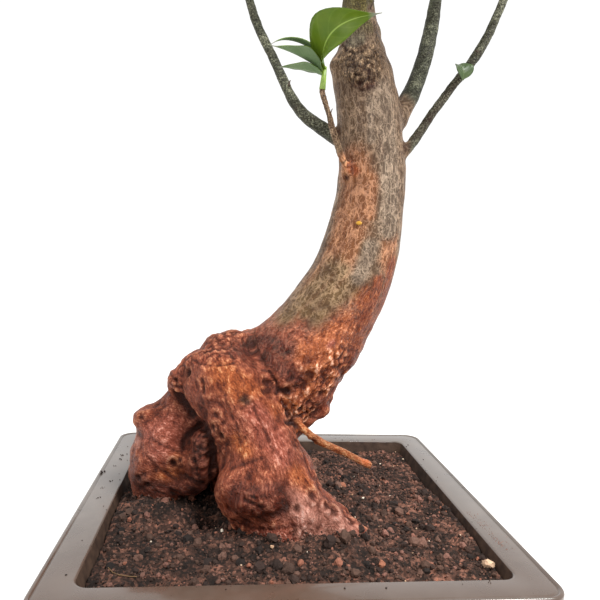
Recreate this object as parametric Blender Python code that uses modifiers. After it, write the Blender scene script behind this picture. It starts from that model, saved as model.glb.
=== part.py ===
"""A baobab bonsai in a square moulded tray.

Metres, +Z up. The origin is on the surface that the tray stands on, under the middle of the
tray, and -Y is the tree's front. The tray, the soil, the wood and each tuft of leaves are
separate solids. The wood is one grown piece: root base, trunk, leader, branches and root stub.
"""

import math
import random

import bmesh
import bpy
from mathutils import Matrix, Vector, noise

MM = 0.001
GAP = 0.35 * MM  # clearance between pieces that rest on each other
POCKET_GAP = 0.9 * MM  # how far the soil's pocket is larger than the roots in it

# Tray: half widths and corner radii of its square outlines
TRAY_HALF = 140 * MM
TRAY_HEIGHT = 90 * MM
RIM_INNER_HALF = 119 * MM
RIM_DROP = 10 * MM
FOOT_HEIGHT = 6 * MM
FLOOR_THICK = 3.5 * MM
WALL_TOP_HALF = 120.5 * MM
BASE_HALF = 100 * MM
CAVITY_BASE_HALF = 97 * MM
OUTER_CORNER = 12 * MM
INNER_CORNER = 8 * MM
CORNER_STEPS = 4
FOOT_SIDE = 34 * MM
FOOT_CENTRE = 80 * MM
DRAIN_RADIUS = 6 * MM
DRAIN_CENTRE = 42 * MM

# Soil
SOIL_TOP = 80.5 * MM
SOIL_CELLS = 20
SOIL_LUMP = 2.4 * MM
SOIL_SEED = 7
PEBBLES = 22
BIG_PEBBLES = 6

# Wood surface
WOOD_VOXEL = 2.0 * MM
WOOD_TRIANGLES = 4150
ROOT_TOP = 215 * MM  # above this height the trunk is smoother

# Leaves
BLADE_THICK = 0.8 * MM
PETIOLE_HALF = 0.9 * MM
GOLDEN_ANGLE = math.radians(137.5)

# Centre lines as (x, y, z, radius), in millimetres, from the base up
TRUNK = [
    (-31, 13, 72, 10), (-30, 12, 86, 24), (-26, 10, 118, 31), (-18, 8, 150, 34), (1, 6, 181, 35.5),
    (19, 6, 206, 33.5), (33, 6, 229, 31.0), (42, 5, 249, 29.0), (47, 4, 268, 27.9), (50, 3, 287, 26.1),
    (52, 2, 306, 24.6), (52, 0, 323, 23.6), (50, 0, 341, 23.0), (48, 0, 358, 22.3), (45, 0, 373, 21.8),
    (42, 0, 387, 21.3), (40, 0, 396, 19.5), (40, 1, 405, 15.5),
]
LEADER = [
    (39, -2, 392, 10.5), (38, -3, 406, 12.0), (37, -3, 421, 12.1), (36, -2, 438, 11.4), (35, 0, 456, 9.6),
    (33, 2, 474, 7.4), (30, 3, 490, 5.4), (29, 3, 508, 3.6), (31, 1, 526, 2.3),
]
FRONT_ROOT = [
    (-58, 2, 190, 20), (-54, -2, 181, 25), (-44, -10, 168, 26.5), (-33, -16, 154, 26.5),
    (-25, -22, 139, 26.5), (-19, -29, 124, 27.5), (-12, -36, 110, 28.5), (-4, -41, 96, 28.5),
    (2, -39, 80, 28), (3, -37, 66, 24), (4, -36, 54, 11),
]
LEFT_ROOT = [
    (-56, 10, 168, 17), (-71, 9, 148, 21), (-79, 8, 132, 25.5), (-84, 8, 116, 27), (-87, 10, 100, 25.5),
    (-87, 12, 82, 22), (-84, 14, 68, 16), (-82, 15, 58, 7),
]
BACK_ROOT = [
    (-30, 22, 162, 24), (-34, 38, 138, 23), (-34, 52, 112, 22), (-30, 62, 90, 21),
    (-27, 65, 72, 16), (-25, 67, 62, 7),
]
# Flare where the front root spreads to the right over the soil
FLARE = [(-8, -36, 106, 27), (11, -43, 93, 20), (27, -46, 85, 15), (42, -48, 80, 11), (52, -49, 76, 6)]
# Swellings as (x, y, z, radius), in millimetres
KNOBS = [
    (-100, 2, 142, 9), (-44, 0, 199, 9.5), (-54, -2, 197, 8.5), (-66, 2, 185, 7.5), (-77, -5, 172, 8.5),
    (-81, 2, 167, 6), (-30, -43, 109, 21), (24, -4, 392, 7.5), (47, 3, 405, 11), (46, 4, 417, 9),
    (-20, -58, 112, 15), (-60, -18, 118, 13), (-58, -22, 133, 9), (-66, -14, 104, 11),
    (-28, 4, 195, 9.5), (-37, 3, 197, 9), (-25, 6, 201, 9), (9, -2, 164, 7), (14, -8, 148, 6),
    (22, -5, 151, 6), (28, -2, 163, 5), (31, 0, 174, 4),
    (10, -54, 84, 14), (-26, -46, 86, 14), (26, -50, 94, 6), (32, -40, 92, 7),
    (38, -18, 385, 7), (33, -15, 378, 5), (32, -10, 321, 5.5), (5, -24, 180, 7), (14, -30, 188, 4),
    (-100, 26, 96, 15), (-62, 34, 100, 15), (-8, 44, 116, 14), (-48, 44, 152, 12), (8, 34, 170, 10),
    (-4, 66, 84, 12), (36, 24, 338, 5),
]
# Swollen collars where branches leave the trunk, as (x, y, z, radius)
COLLARS = [
    (62, 5, 349, 9), (68, 6, 361, 9.5), (66, -5, 330, 6.5), (34, 2, 341, 8), (31, -11, 320, 4),
    (0, -22, 152, 6),
]
ROOT_STUB = [
    (-6, -20, 153, 3.8), (1, -22, 149, 3.4), (7, -24, 145, 2.8), (14, -25, 139.5, 2.5), (20, -25, 135.5, 2.7),
    (30, -26, 131.5, 2.4), (40, -26, 127, 2.4), (48, -27, 123, 2.3), (56, -28, 119.5, 2.7),
]
LEFT_BRANCH = [
    (40, 3, 338, 6.4), (29, 4, 343, 5.5), (18, 3, 349, 5.0), (9, 3, 354, 4.5), (-1, 4, 361, 4.1),
    (-9.7, 6, 375, 3.5), (-16, 8, 389, 3.3), (-22.6, 10, 402, 3.1), (-29.5, 12, 414, 3.1),
    (-34.4, 14, 426, 3.0), (-38.3, 16, 438, 2.9), (-44, 18, 456, 2.6), (-49, 17, 474, 2.4),
    (-52, 13, 492, 2.2), (-53, 8, 508, 2.0),
]
RIGHT_BRANCH = [
    (58, 4, 352, 9), (68, 6, 362, 8.4), (75, 8, 371, 7.1), (81, 10, 383, 6.4), (86, 12, 397, 6.1),
    (90, 14, 411, 5.8), (93, 16, 426, 5.5), (95, 18, 438, 5.1), (97, 20, 454, 4.2), (98, 20, 472, 3.6),
    (100, 18, 490, 3.0), (103, 14, 508, 2.3),
]
THIN_BRANCH = [
    (62, -4, 328, 5.0), (71, -6, 334, 4.4), (76, -8, 341, 3.5), (83, -8, 351, 3.0), (90, -8, 363, 2.9),
    (98, -9, 375, 2.9), (107, -10, 388, 2.9), (114, -11, 397, 3.0), (119.5, -12, 406, 3.4),
    (125, -14, 418, 2.9), (129, -15, 430, 2.9), (133.8, -16, 442, 2.7), (137, -18, 457, 2.4),
    (138.5, -20, 471, 2.1), (138, -23, 484, 1.9),
]
TWIG = [
    (37, -8, 314, 2.9), (31, -14, 321, 2.5), (26, -18, 330, 2.0), (22, -20, 338, 1.9), (18, -22, 348, 1.9),
    (15, -23, 357, 1.8), (11.6, -24.3, 365, 1.8), (10.4, -24.8, 368, 1.8), (10.6, -24.9, 371, 1.8),
]
LEFT_OUTER = [
    (-41, 17, 447, 2.4), (-58, 23, 458, 2.2), (-82, 27, 467, 2.1), (-108, 27, 473, 1.9), (-134, 22, 484, 1.8),
]
LEFT_BACK = [(-50, 16, 478, 2.0), (-44, 32, 488, 1.9), (-36, 46, 500, 1.8)]
FRONT_SHOOT = [
    (36, 0, 450, 6.0), (24, -12, 466, 3.6), (12, -26, 480, 2.8), (2, -38, 494, 2.3), (-4, -44, 508, 1.9),
]
BACK_SHOOT = [(34, 1, 464, 5.0), (38, 20, 480, 2.8), (42, 38, 494, 2.3), (42, 52, 510, 1.9)]
RIGHT_BACK = [(97, 20, 460, 3.2), (88, 38, 474, 2.6), (80, 56, 486, 2.2), (76, 70, 500, 1.9)]
RIGHT_FRONT = [(99, 19, 478, 3.0), (96, -2, 488, 2.3), (94, -22, 496, 2.0), (93, -38, 508, 1.8)]
THIN_FRONT = [(134, -16, 446, 2.2), (124, -34, 454, 2.0), (118, -54, 464, 1.8)]
BRANCHES = [LEFT_BRANCH, RIGHT_BRANCH, THIN_BRANCH]
SHOOTS = [
    TWIG, ROOT_STUB, LEFT_OUTER, LEFT_BACK, FRONT_SHOOT, BACK_SHOOT, RIGHT_BACK, RIGHT_FRONT, THIN_FRONT,
]

# Each tuft: name, what carries it, leaf count, longest leaf in mm, and seed
TUFTS = [
    ("leader_leaves", LEADER, 8, 58, 3),
    ("left_top_leaves", LEFT_BRANCH, 7, 54, 5),
    ("left_outer_leaves", LEFT_OUTER, 7, 52, 8),
    ("left_back_leaves", LEFT_BACK, 6, 52, 13),
    ("front_leaves", FRONT_SHOOT, 8, 56, 17),
    ("back_leaves", BACK_SHOOT, 7, 54, 21),
    ("right_back_leaves", RIGHT_BACK, 7, 52, 26),
    ("right_top_leaves", RIGHT_BRANCH, 7, 54, 30),
    ("right_front_leaves", RIGHT_FRONT, 7, 52, 34),
    ("thin_top_leaves", THIN_BRANCH, 6, 46, 39),
    ("thin_front_leaves", THIN_FRONT, 6, 46, 44),
]
# Leaves of the low tuft and the lone small leaf, as angles in degrees and sizes in millimetres:
# azimuth, rise, length, width, droop, roll, bend, fold
LOW_LEAVES = [
    (56, 128, 61.4, 25.3, 70, -46.5, 107, 0.58),
    (185, 32, 38.6, 17.2, 26, -7, -19, 0.66),
    (184, 13, 30.7, 12, 19, 9, 2, 0.32),
    (146, 89, 50.5, 5.6, 136, 48, 25, 0.37),
]
SMALL_LEAF_ROOT = (107.3, -15.2, 385.5)
SMALL_LEAF = (110, 130, 17, 14, 150, 0, -20, 0.3)


def clear_scene():
    """Removes what the start-up file holds."""
    for obj in list(bpy.data.objects):
        bpy.data.objects.remove(obj, do_unlink=True)


def material(name, colour, roughness):
    """A plain Principled material. The colour is linear."""
    made = bpy.data.materials.new(name)
    made.use_nodes = True
    shader = made.node_tree.nodes["Principled BSDF"]
    shader.inputs["Base Color"].default_value = (*colour, 1)
    shader.inputs["Roughness"].default_value = roughness
    shader.inputs["Metallic"].default_value = 0
    return made


def object_from(shape, name, collection, finish=None):
    """A mesh object made of a bmesh, which is then freed."""
    mesh = bpy.data.meshes.new(name)
    shape.to_mesh(mesh)
    shape.free()
    if finish:
        mesh.materials.append(finish)
    made = bpy.data.objects.new(name, mesh)
    collection.objects.link(made)
    return made


def evaluated(obj):
    """The object's mesh with its modifiers in force."""
    graph = bpy.context.evaluated_depsgraph_get()
    return bpy.data.meshes.new_from_object(obj.evaluated_get(graph), depsgraph=graph)


def bake(obj):
    """Applies all the modifiers of a mesh object."""
    mesh = evaluated(obj)
    obj.modifiers.clear()
    obj.data = mesh


def boolean(obj, other, operation, solver="EXACT"):
    """Adds a Boolean with one cutter, or with every object of a collection, and applies it."""
    cut = obj.modifiers.new(operation.lower(), "BOOLEAN")
    cut.operation = operation
    cut.solver = solver
    if isinstance(other, bpy.types.Collection):
        cut.operand_type = "COLLECTION"
        cut.collection = other
    else:
        cut.object = other
    bake(obj)


def discard(collection):
    """Removes the helpers in a collection."""
    for obj in list(collection.objects):
        bpy.data.objects.remove(obj, do_unlink=True)


def shade(obj, sharp_degrees):
    """Smooth shading, with edges over an angle kept sharp."""
    obj.data.shade_smooth()
    obj.data.set_sharp_from_angle(angle=math.radians(sharp_degrees))


def smooth_path(stations, steps):
    """Points and radii on a Catmull-Rom curve through the stations, in metres."""
    rows = [Vector((x * MM, y * MM, z * MM, r * MM)) for x, y, z, r in stations]
    ends = [rows[0] * 2 - rows[1], *rows, rows[-1] * 2 - rows[-2]]
    path = []
    for i in range(len(rows) - 1):
        a, b, c, d = ends[i : i + 4]
        for k in range(steps):
            t = k / steps
            square, cube = 2 * a - 5 * b + 4 * c - d, 3 * b - a - 3 * c + d
            path.append(0.5 * (2 * b + (c - a) * t + square * t**2 + cube * t**3))
    return path + [rows[-1]]


def tube(name, stations, collection, steps=2, resolution=2):
    """A closed round tube along the stations, with 4 + 2 * resolution sides."""
    path = smooth_path(stations, steps)
    curve = bpy.data.curves.new(name, "CURVE")
    curve.dimensions = "3D"
    curve.bevel_depth = 1
    curve.bevel_resolution = resolution
    curve.use_fill_caps = True
    spline = curve.splines.new("POLY")
    spline.points.add(len(path) - 1)
    for point, (x, y, z, radius) in zip(spline.points, path):
        point.co = (x, y, z, 1)
        point.radius = radius
    drawn = bpy.data.objects.new(name + "_line", curve)
    collection.objects.link(drawn)
    shape = bmesh.new()
    shape.from_mesh(evaluated(drawn))
    bmesh.ops.remove_doubles(shape, verts=shape.verts, dist=0.01 * MM)
    outward(shape)
    bpy.data.objects.remove(drawn, do_unlink=True)
    return object_from(shape, name, collection)


def rounded_square(shape, half, corner, z):
    """A ring of vertices: a square with rounded corners, at height z."""
    verts = []
    for quarter in range(4):
        for step in range(CORNER_STEPS + 1):
            angle = math.radians(90 * (quarter + step / CORNER_STEPS))
            x, y = corner * math.cos(angle), corner * math.sin(angle)
            x += math.copysign(half - corner, math.cos(math.radians(90 * quarter + 45)))
            y += math.copysign(half - corner, math.sin(math.radians(90 * quarter + 45)))
            verts.append(shape.verts.new((x, y, z)))
    return verts


def outward(shape):
    """Turns every face of a closed shape outward."""
    bmesh.ops.recalc_face_normals(shape, faces=shape.faces)
    if shape.calc_volume(signed=True) < 0:
        bmesh.ops.reverse_faces(shape, faces=shape.faces)


def loft(rings):
    """A closed solid through rounded squares given as (half width, corner radius, height)."""
    shape = bmesh.new()
    loops = [rounded_square(shape, *ring) for ring in rings]
    for lower, upper in zip(loops, loops[1:]):
        for i in range(len(lower)):
            shape.faces.new((lower[i - 1], lower[i], upper[i], upper[i - 1]))
    for loop in (loops[0], loops[-1]):
        shape.faces.new(loop)
    outward(shape)
    return shape


def build_tray(parts, helpers, finish):
    """The moulded tray: wide flat rim with a bead at its edge, sloping walls, feet, drain holes."""
    top = TRAY_HEIGHT
    flat = top - 0.4 * MM
    outer, inner = OUTER_CORNER, INNER_CORNER
    rings = [
        (BASE_HALF, outer, FOOT_HEIGHT),
        (WALL_TOP_HALF, outer, top - RIM_DROP + 2 * MM),
        (TRAY_HALF - 3 * MM, outer - 2 * MM, top - RIM_DROP + 2 * MM),
        (TRAY_HALF - 3 * MM, outer - 2 * MM, top - RIM_DROP),
        (TRAY_HALF - 0.4 * MM, outer, top - RIM_DROP),
        (TRAY_HALF, outer, top - 1.6 * MM),
        (TRAY_HALF - 0.9 * MM, outer, top),
        (TRAY_HALF - 2.2 * MM, outer - MM, top),
        (TRAY_HALF - 2.8 * MM, outer - 1.4 * MM, flat - 0.6 * MM),
        (TRAY_HALF - 3.6 * MM, outer - 2 * MM, flat),
        (RIM_INNER_HALF + 1.2 * MM, inner + MM, flat),
        (RIM_INNER_HALF, inner, flat - 1.2 * MM),
        (CAVITY_BASE_HALF, inner, FOOT_HEIGHT + FLOOR_THICK),
    ]
    tray = object_from(loft(rings), "tray", parts, finish)
    for sx in (-1, 1):
        for sy in (-1, 1):
            foot = loft(
                [(FOOT_SIDE / 2 - 2 * MM, 4 * MM, 0), (FOOT_SIDE / 2, 5 * MM, FOOT_HEIGHT + MM)]
            )
            bmesh.ops.translate(foot, verts=foot.verts, vec=(sx * FOOT_CENTRE, sy * FOOT_CENTRE, 0))
            boolean(tray, object_from(foot, "foot", helpers), "UNION")
            hole = bmesh.new()
            bmesh.ops.create_cone(
                hole,
                cap_ends=True,
                segments=20,
                radius1=DRAIN_RADIUS,
                radius2=DRAIN_RADIUS,
                depth=4 * FLOOR_THICK,
                matrix=Matrix.Translation((sx * DRAIN_CENTRE, sy * DRAIN_CENTRE, FOOT_HEIGHT)),
            )
            boolean(tray, object_from(hole, "drain_hole", helpers), "DIFFERENCE")
    discard(helpers)
    shade(tray, 30)
    return tray


def soil_height(x, y):
    """Height of the soil's top: mounded round the roots, hollow between them, lumpy all over."""
    mound = 7.5 * MM * math.exp(-(((x + 15 * MM) / (72 * MM)) ** 2) - ((y + 14 * MM) / (66 * MM)) ** 2)
    mound += 8 * MM * math.exp(-(((x + 92 * MM) / (26 * MM)) ** 2) - ((y + 14 * MM) / (26 * MM)) ** 2)
    mound += 3.5 * MM * math.exp(-(((x - 8 * MM) / (38 * MM)) ** 2) - ((y + 70 * MM) / (20 * MM)) ** 2)
    hollow = 9 * MM * math.exp(-(((x + 52 * MM) / (13 * MM)) ** 2) - ((y + 28 * MM) / (15 * MM)) ** 2)
    lumps = SOIL_LUMP * noise.fractal(Vector((x, y, 0)) / (22 * MM), 0.8, 2.2, 3)
    edge = max(abs(x), abs(y)) / RIM_INNER_HALF
    return SOIL_TOP + mound - hollow + lumps * (1 - max(0, edge - 0.9) * 6)


def squash_corner(x, y, half, corner):
    """Moves a point of a square grid into the same square with rounded corners."""
    inset = half - corner
    over_x, over_y = (abs(x) - inset) / corner, (abs(y) - inset) / corner
    if over_x <= 0 or over_y <= 0:
        return x, y
    round_x = inset + corner * over_x * math.sqrt(1 - over_y**2 / 2)
    round_y = inset + corner * over_y * math.sqrt(1 - over_x**2 / 2)
    return math.copysign(round_x, x), math.copysign(round_y, y)


def pebble(radius, place, faces, rng):
    """A rough angular pebble, flattened a little."""
    stone = bmesh.new()
    bmesh.ops.create_icosphere(stone, subdivisions=faces, radius=radius)
    for vert in stone.verts:
        vert.co *= rng.uniform(0.8, 1.15)
    turn = Matrix.Rotation(rng.uniform(0, math.tau), 4, (rng.random(), rng.random(), 1))
    bmesh.ops.transform(
        stone,
        verts=stone.verts,
        matrix=Matrix.Translation(place) @ Matrix.Diagonal((1, 1, 0.8, 1)) @ turn,
    )
    return stone


def build_soil(parts, helpers, finish, wood):
    """The soil that fills the tray, with pebbles sunk in its top and a pocket for the roots."""
    floor = FOOT_HEIGHT + FLOOR_THICK + GAP
    wall_rise = TRAY_HEIGHT - 1.6 * MM - FOOT_HEIGHT - FLOOR_THICK
    shape = bmesh.new()
    bmesh.ops.create_grid(shape, x_segments=SOIL_CELLS, y_segments=SOIL_CELLS, size=1)
    top = list(shape.verts)
    rim = [edge for edge in shape.edges if edge.is_boundary]
    sides = bmesh.ops.extrude_edge_only(shape, edges=rim)["geom"]
    bottom = [item for item in sides if isinstance(item, bmesh.types.BMVert)]
    bmesh.ops.edgeloop_fill(shape, edges=[edge for edge in shape.edges if edge.is_boundary])
    for verts, is_top in ((bottom, False), (top, True)):
        for vert in verts:
            guess = soil_height(vert.co.x * RIM_INNER_HALF, vert.co.y * RIM_INNER_HALF) if is_top else floor
            share = (guess - FOOT_HEIGHT - FLOOR_THICK) / wall_rise
            half = CAVITY_BASE_HALF + (RIM_INNER_HALF - CAVITY_BASE_HALF) * share - 2 * GAP
            x, y = squash_corner(vert.co.x * half, vert.co.y * half, half, INNER_CORNER)
            vert.co = (x, y, soil_height(x, y) if is_top else floor)
    outward(shape)
    soil = object_from(shape, "soil", parts, finish)
    rng = random.Random(SOIL_SEED)
    reach = RIM_INNER_HALF - 12 * MM
    for count in range(PEBBLES):
        big = count < BIG_PEBBLES
        radius = rng.uniform(3.6, 5.6) * MM if big else rng.uniform(2.2, 3.4) * MM
        x, y = rng.uniform(-reach, reach), rng.uniform(-reach, reach)
        place = (x, y, soil_height(x, y) + 0.1 * radius)
        object_from(pebble(radius, place, 2 if big else 1, rng), "pebble", helpers)
    boolean(soil, helpers, "UNION")
    discard(helpers)
    pocket = wood.copy()
    pocket.data = wood.data.copy()
    helpers.objects.link(pocket)
    swell = pocket.modifiers.new("clearance", "DISPLACE")
    swell.strength = POCKET_GAP
    swell.mid_level = 0
    bake(pocket)
    boolean(soil, pocket, "DIFFERENCE")
    discard(helpers)
    shade(soil, 40)
    return soil


def root_share(z):
    """1 on the root base, falling to 0 on the trunk above it."""
    return min(1, max(0, (ROOT_TOP + 25 * MM - z) / (50 * MM)))


def roughen(mesh):
    """Raises lumps and folds over the root base, and a low ripple over the trunk."""
    shape = bmesh.new()
    shape.from_mesh(mesh)
    shape.normal_update()
    moves = []
    for vert in shape.verts:
        share = root_share(vert.co.z)
        wide = noise.noise(vert.co / (17 * MM))
        fine = abs(noise.noise(vert.co / (8 * MM) + Vector((5, 5, 5))))
        moves.append(vert.normal * (wide * (0.7 + 1.9 * share) + (0.35 - fine) * 3.4 * share) * MM)
    for vert, move in zip(shape.verts, moves):
        vert.co += move
    shape.to_mesh(mesh)
    shape.free()


def ball(centre, radius, helpers):
    """A round swelling, to be fused with what it grows from."""
    shape = bmesh.new()
    bmesh.ops.create_icosphere(shape, subdivisions=3, radius=radius, matrix=Matrix.Translation(centre))
    return object_from(shape, "swelling", helpers)


def build_wood(parts, helpers, finish):
    """Root base, trunk and leader fused by a voxel remesh, then the branches joined to them."""
    lines = {"trunk": TRUNK, "leader": LEADER, "front": FRONT_ROOT, "left": LEFT_ROOT}
    lines.update(back=BACK_ROOT, flare=FLARE)
    for name, stations in lines.items():
        tube(name, stations, helpers, steps=4, resolution=8)
    for x, y, z, radius in KNOBS + COLLARS:
        ball((x * MM, y * MM, z * MM), radius * MM, helpers)
    shape = bmesh.new()
    for obj in helpers.objects:
        shape.from_mesh(obj.data)
    discard(helpers)
    wood = object_from(shape, "wood", parts, finish)
    fuse = wood.modifiers.new("fuse", "REMESH")
    fuse.mode = "VOXEL"
    fuse.voxel_size = WOOD_VOXEL
    soften = wood.modifiers.new("soften", "SMOOTH")
    soften.factor = 0.5
    soften.iterations = 5
    bake(wood)
    roughen(wood.data)
    thin = wood.modifiers.new("thin", "DECIMATE")
    thin.ratio = WOOD_TRIANGLES / (2 * len(wood.data.polygons))
    bake(wood)
    for stations in BRANCHES:
        tube("branch", stations, helpers, steps=1, resolution=2)
    for stations in SHOOTS:
        tube("shoot", stations, helpers, steps=1, resolution=1)
    boolean(wood, helpers, "UNION")
    discard(helpers)
    wood.data.materials.clear()
    wood.data.materials.append(finish)
    shade(wood, 50)
    return wood


def blade_share(t):
    """Half width of a pointed leaf as a share of its widest, from base to tip."""
    return 8.7 * t**1.3 * (1 - t) ** 1.9


def leaf(root, frame, length, width, droop, bend=0.0, fold=0.35):
    """One arched, folded leaf with its petiole, as a closed solid.

    The frame's columns are the leaf's own side, forward and up directions. The midrib starts
    forward. Over its length it turns down by the droop angle and sideways by the bend angle.
    """
    shape = bmesh.new()
    rows = (0, 0.18, 0.42, 0.7, 1)
    point, last = Vector((0, 0, 0)), 0.0
    loops = []
    for t in rows:
        middle = (t + last) / 2
        step = Matrix.Rotation(-bend * middle, 3, "Z") @ Matrix.Rotation(-droop * middle, 3, "X")
        point = point + step @ Vector((0, (t - last) * length, 0))
        last = t
        turn = Matrix.Rotation(-bend * t, 3, "Z") @ Matrix.Rotation(-droop * t, 3, "X")
        half = max(PETIOLE_HALF * (0.35 if t == 1 else 1), width / 2 * blade_share(t))
        thick = BLADE_THICK if t > 0.1 else 2 * PETIOLE_HALF
        lift = fold * half if t > 0.1 else 0
        ring = []
        for side, level in ((-1, 1), (0, 1), (1, 1), (1, -1), (0, -1), (-1, -1)):
            here = point + turn @ Vector((side * half, 0, abs(side) * lift + level * thick / 2))
            ring.append(shape.verts.new(root + frame @ here))
        loops.append(ring)
    for lower, upper in zip(loops, loops[1:]):
        for i in range(6):
            a, b, c, d = lower[i - 1], lower[i], upper[i], upper[i - 1]
            # The two faces of the blade are split along the same diagonals.
            pairs = ((a, b, c), (a, c, d)) if i in (1, 5) else ((a, b, d), (b, c, d))
            for corners in pairs:
                shape.faces.new(corners)
    for ring in (loops[0], loops[-1]):
        shape.faces.new((ring[0], ring[1], ring[4], ring[5]))
        shape.faces.new((ring[1], ring[2], ring[3], ring[4]))
    bmesh.ops.triangulate(shape, faces=[face for face in shape.faces if len(face.verts) > 3])
    outward(shape)
    return shape


def leaf_frame(azimuth, rise, roll=0.0):
    """Side, forward and up directions of a leaf that points along an azimuth and rises."""
    turn = Matrix.Rotation(azimuth - math.pi / 2, 3, "Z") @ Matrix.Rotation(rise, 3, "X")
    return turn @ Matrix.Rotation(roll, 3, "Y")


def shoot_tip(stations, length, helpers):
    """The green shoot that carries a tuft. It carries on from the end of the wood, just clear of it.

    Returns the shoot, its foot and its direction.
    """
    foot = Vector(stations[-1][:3]) * MM
    aim = (foot - Vector(stations[-2][:3]) * MM).normalized()
    start, end = foot + aim * GAP, foot + aim * length
    line = [(*(start / MM), 1.9), (*((start + end) / 2 / MM), 1.9), (*(end / MM), 1.3)]
    return tube("shoot", line, helpers, steps=1, resolution=1), foot, aim


def join_tuft(name, shoot, parts, helpers, finish):
    """Fuses a shoot and its leaves into one solid."""
    tuft = bpy.data.objects.new(name, shoot.data.copy())
    bpy.data.objects.remove(shoot, do_unlink=True)
    parts.objects.link(tuft)
    boolean(tuft, helpers, "UNION", solver="MANIFOLD")
    discard(helpers)
    tuft.data.materials.clear()
    tuft.data.materials.append(finish)
    shade(tuft, 40)


def build_tuft(parts, helpers, finish, name, stations, count, longest, seed):
    """A whorl of leaves that turn by the golden angle, the inner ones shorter and steeper."""
    rng = random.Random(seed)
    shoot, foot, aim = shoot_tip(stations, 23 * MM, helpers)
    for i in range(count):
        share = i / (count - 1)
        rise = math.radians(16 + 54 * share + rng.uniform(-8, 8))
        length = longest * (1 - 0.4 * share) * rng.uniform(0.9, 1.05) * MM
        root = foot + aim * (5 + 17 * share) * MM
        frame = leaf_frame(seed + i * GOLDEN_ANGLE, rise, rng.uniform(-0.3, 0.3))
        droop, bend = math.radians(rng.uniform(30, 70)), rng.uniform(-0.3, 0.3)
        object_from(leaf(root, frame, length, 0.42 * length, droop, bend), "leaf", helpers)
    join_tuft(name, shoot, parts, helpers, finish)


def posed_leaf(root, pose):
    """A leaf placed by hand, as a row of LOW_LEAVES."""
    azimuth, rise, length, width, droop, roll, bend, fold = pose
    azimuth, rise, droop, roll, bend = (math.radians(a) for a in (azimuth, rise, droop, roll, bend))
    return leaf(root, leaf_frame(azimuth, rise, roll), length * MM, width * MM, droop, bend, fold)


def build_low_tuft(parts, helpers, finish):
    """The tuft on the short twig, leaf by leaf."""
    shoot, foot, aim = shoot_tip(TWIG, 13 * MM, helpers)
    for number, pose in enumerate(LOW_LEAVES):
        object_from(posed_leaf(foot + aim * (11 - 1.5 * number) * MM, pose), "leaf", helpers)
    join_tuft("low_leaves", shoot, parts, helpers, finish)


def build_small_leaf(parts, finish):
    """The single small leaf half way up the thin branch."""
    small = object_from(posed_leaf(Vector(SMALL_LEAF_ROOT) * MM, SMALL_LEAF), "small_leaf", parts, finish)
    shade(small, 40)


def main():
    clear_scene()
    parts = bpy.data.collections.new("Baobab bonsai")
    helpers = bpy.data.collections.new("Helpers")
    for collection in (parts, helpers):
        bpy.context.scene.collection.children.link(collection)
    plastic = material("tray plastic", (0.25, 0.21, 0.19), 0.45)
    earth = material("soil", (0.06, 0.035, 0.025), 0.95)
    bark = material("bark", (0.30, 0.12, 0.06), 0.7)
    green = material("leaf", (0.13, 0.28, 0.05), 0.45)
    build_tray(parts, helpers, plastic)
    wood = build_wood(parts, helpers, bark)
    build_soil(parts, helpers, earth, wood)
    build_low_tuft(parts, helpers, green)
    for tuft in TUFTS:
        build_tuft(parts, helpers, green, *tuft)
    build_small_leaf(parts, green)


main()
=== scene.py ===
"""A baobab bonsai in a square moulded tray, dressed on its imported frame."""

import math
import random

import bmesh
import bpy
import numpy as np
from mathutils import Matrix, Vector, noise
from mathutils.bvhtree import BVHTree
from mathutils.kdtree import KDTree


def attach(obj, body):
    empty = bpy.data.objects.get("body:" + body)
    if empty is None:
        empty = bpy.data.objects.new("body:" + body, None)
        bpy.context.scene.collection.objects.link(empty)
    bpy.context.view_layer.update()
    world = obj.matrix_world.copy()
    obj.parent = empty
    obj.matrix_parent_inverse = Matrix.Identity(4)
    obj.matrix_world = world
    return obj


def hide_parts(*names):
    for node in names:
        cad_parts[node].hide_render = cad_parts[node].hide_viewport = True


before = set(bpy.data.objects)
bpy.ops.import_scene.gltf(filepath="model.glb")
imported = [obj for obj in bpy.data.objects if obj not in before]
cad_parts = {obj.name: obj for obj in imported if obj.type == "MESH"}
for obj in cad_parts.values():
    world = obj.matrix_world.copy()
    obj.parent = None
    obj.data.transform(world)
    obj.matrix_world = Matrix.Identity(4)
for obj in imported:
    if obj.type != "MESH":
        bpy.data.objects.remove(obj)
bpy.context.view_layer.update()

MM = 0.001

# The setting.
# A plain pale floor in a white room: one soft lamp high on the right, in front of the tree, a
# weaker one on the left, and white all round.


def linear(hex_colour):
    """A linear colour with alpha, from sRGB hex."""
    channels = [int(hex_colour[i : i + 2], 16) / 255 for i in (1, 3, 5)]
    return (*(c / 12.92 if c <= 0.04045 else ((c + 0.055) / 1.055) ** 2.4 for c in channels), 1.0)


def new_material(name, colour, roughness, more=()):
    """A material with one Principled shader, and the values of further inputs where they're given."""
    material = bpy.data.materials.new(name)
    material.use_nodes = True
    sockets = material.node_tree.nodes["Principled BSDF"].inputs
    for socket, value in {"Base Color": linear(colour), "Roughness": roughness, **dict(more)}.items():
        sockets[socket].default_value = value
    return material


def new_piece(name, shape, *materials):
    """An object made of a bmesh, which is then freed."""
    mesh = bpy.data.meshes.new(name)
    shape.to_mesh(mesh)
    shape.free()
    for material in materials:
        mesh.materials.append(material)
    piece = bpy.data.objects.new(name, mesh)
    bpy.context.scene.collection.objects.link(piece)
    return piece


FLOOR_HALF = 4.0
floor_material = new_material("pale painted floor", "#f7f6f4", 0.8)
shape = bmesh.new()
bmesh.ops.create_grid(shape, x_segments=1, y_segments=1, size=FLOOR_HALF)
floor = new_piece("floor", shape, floor_material)

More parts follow.
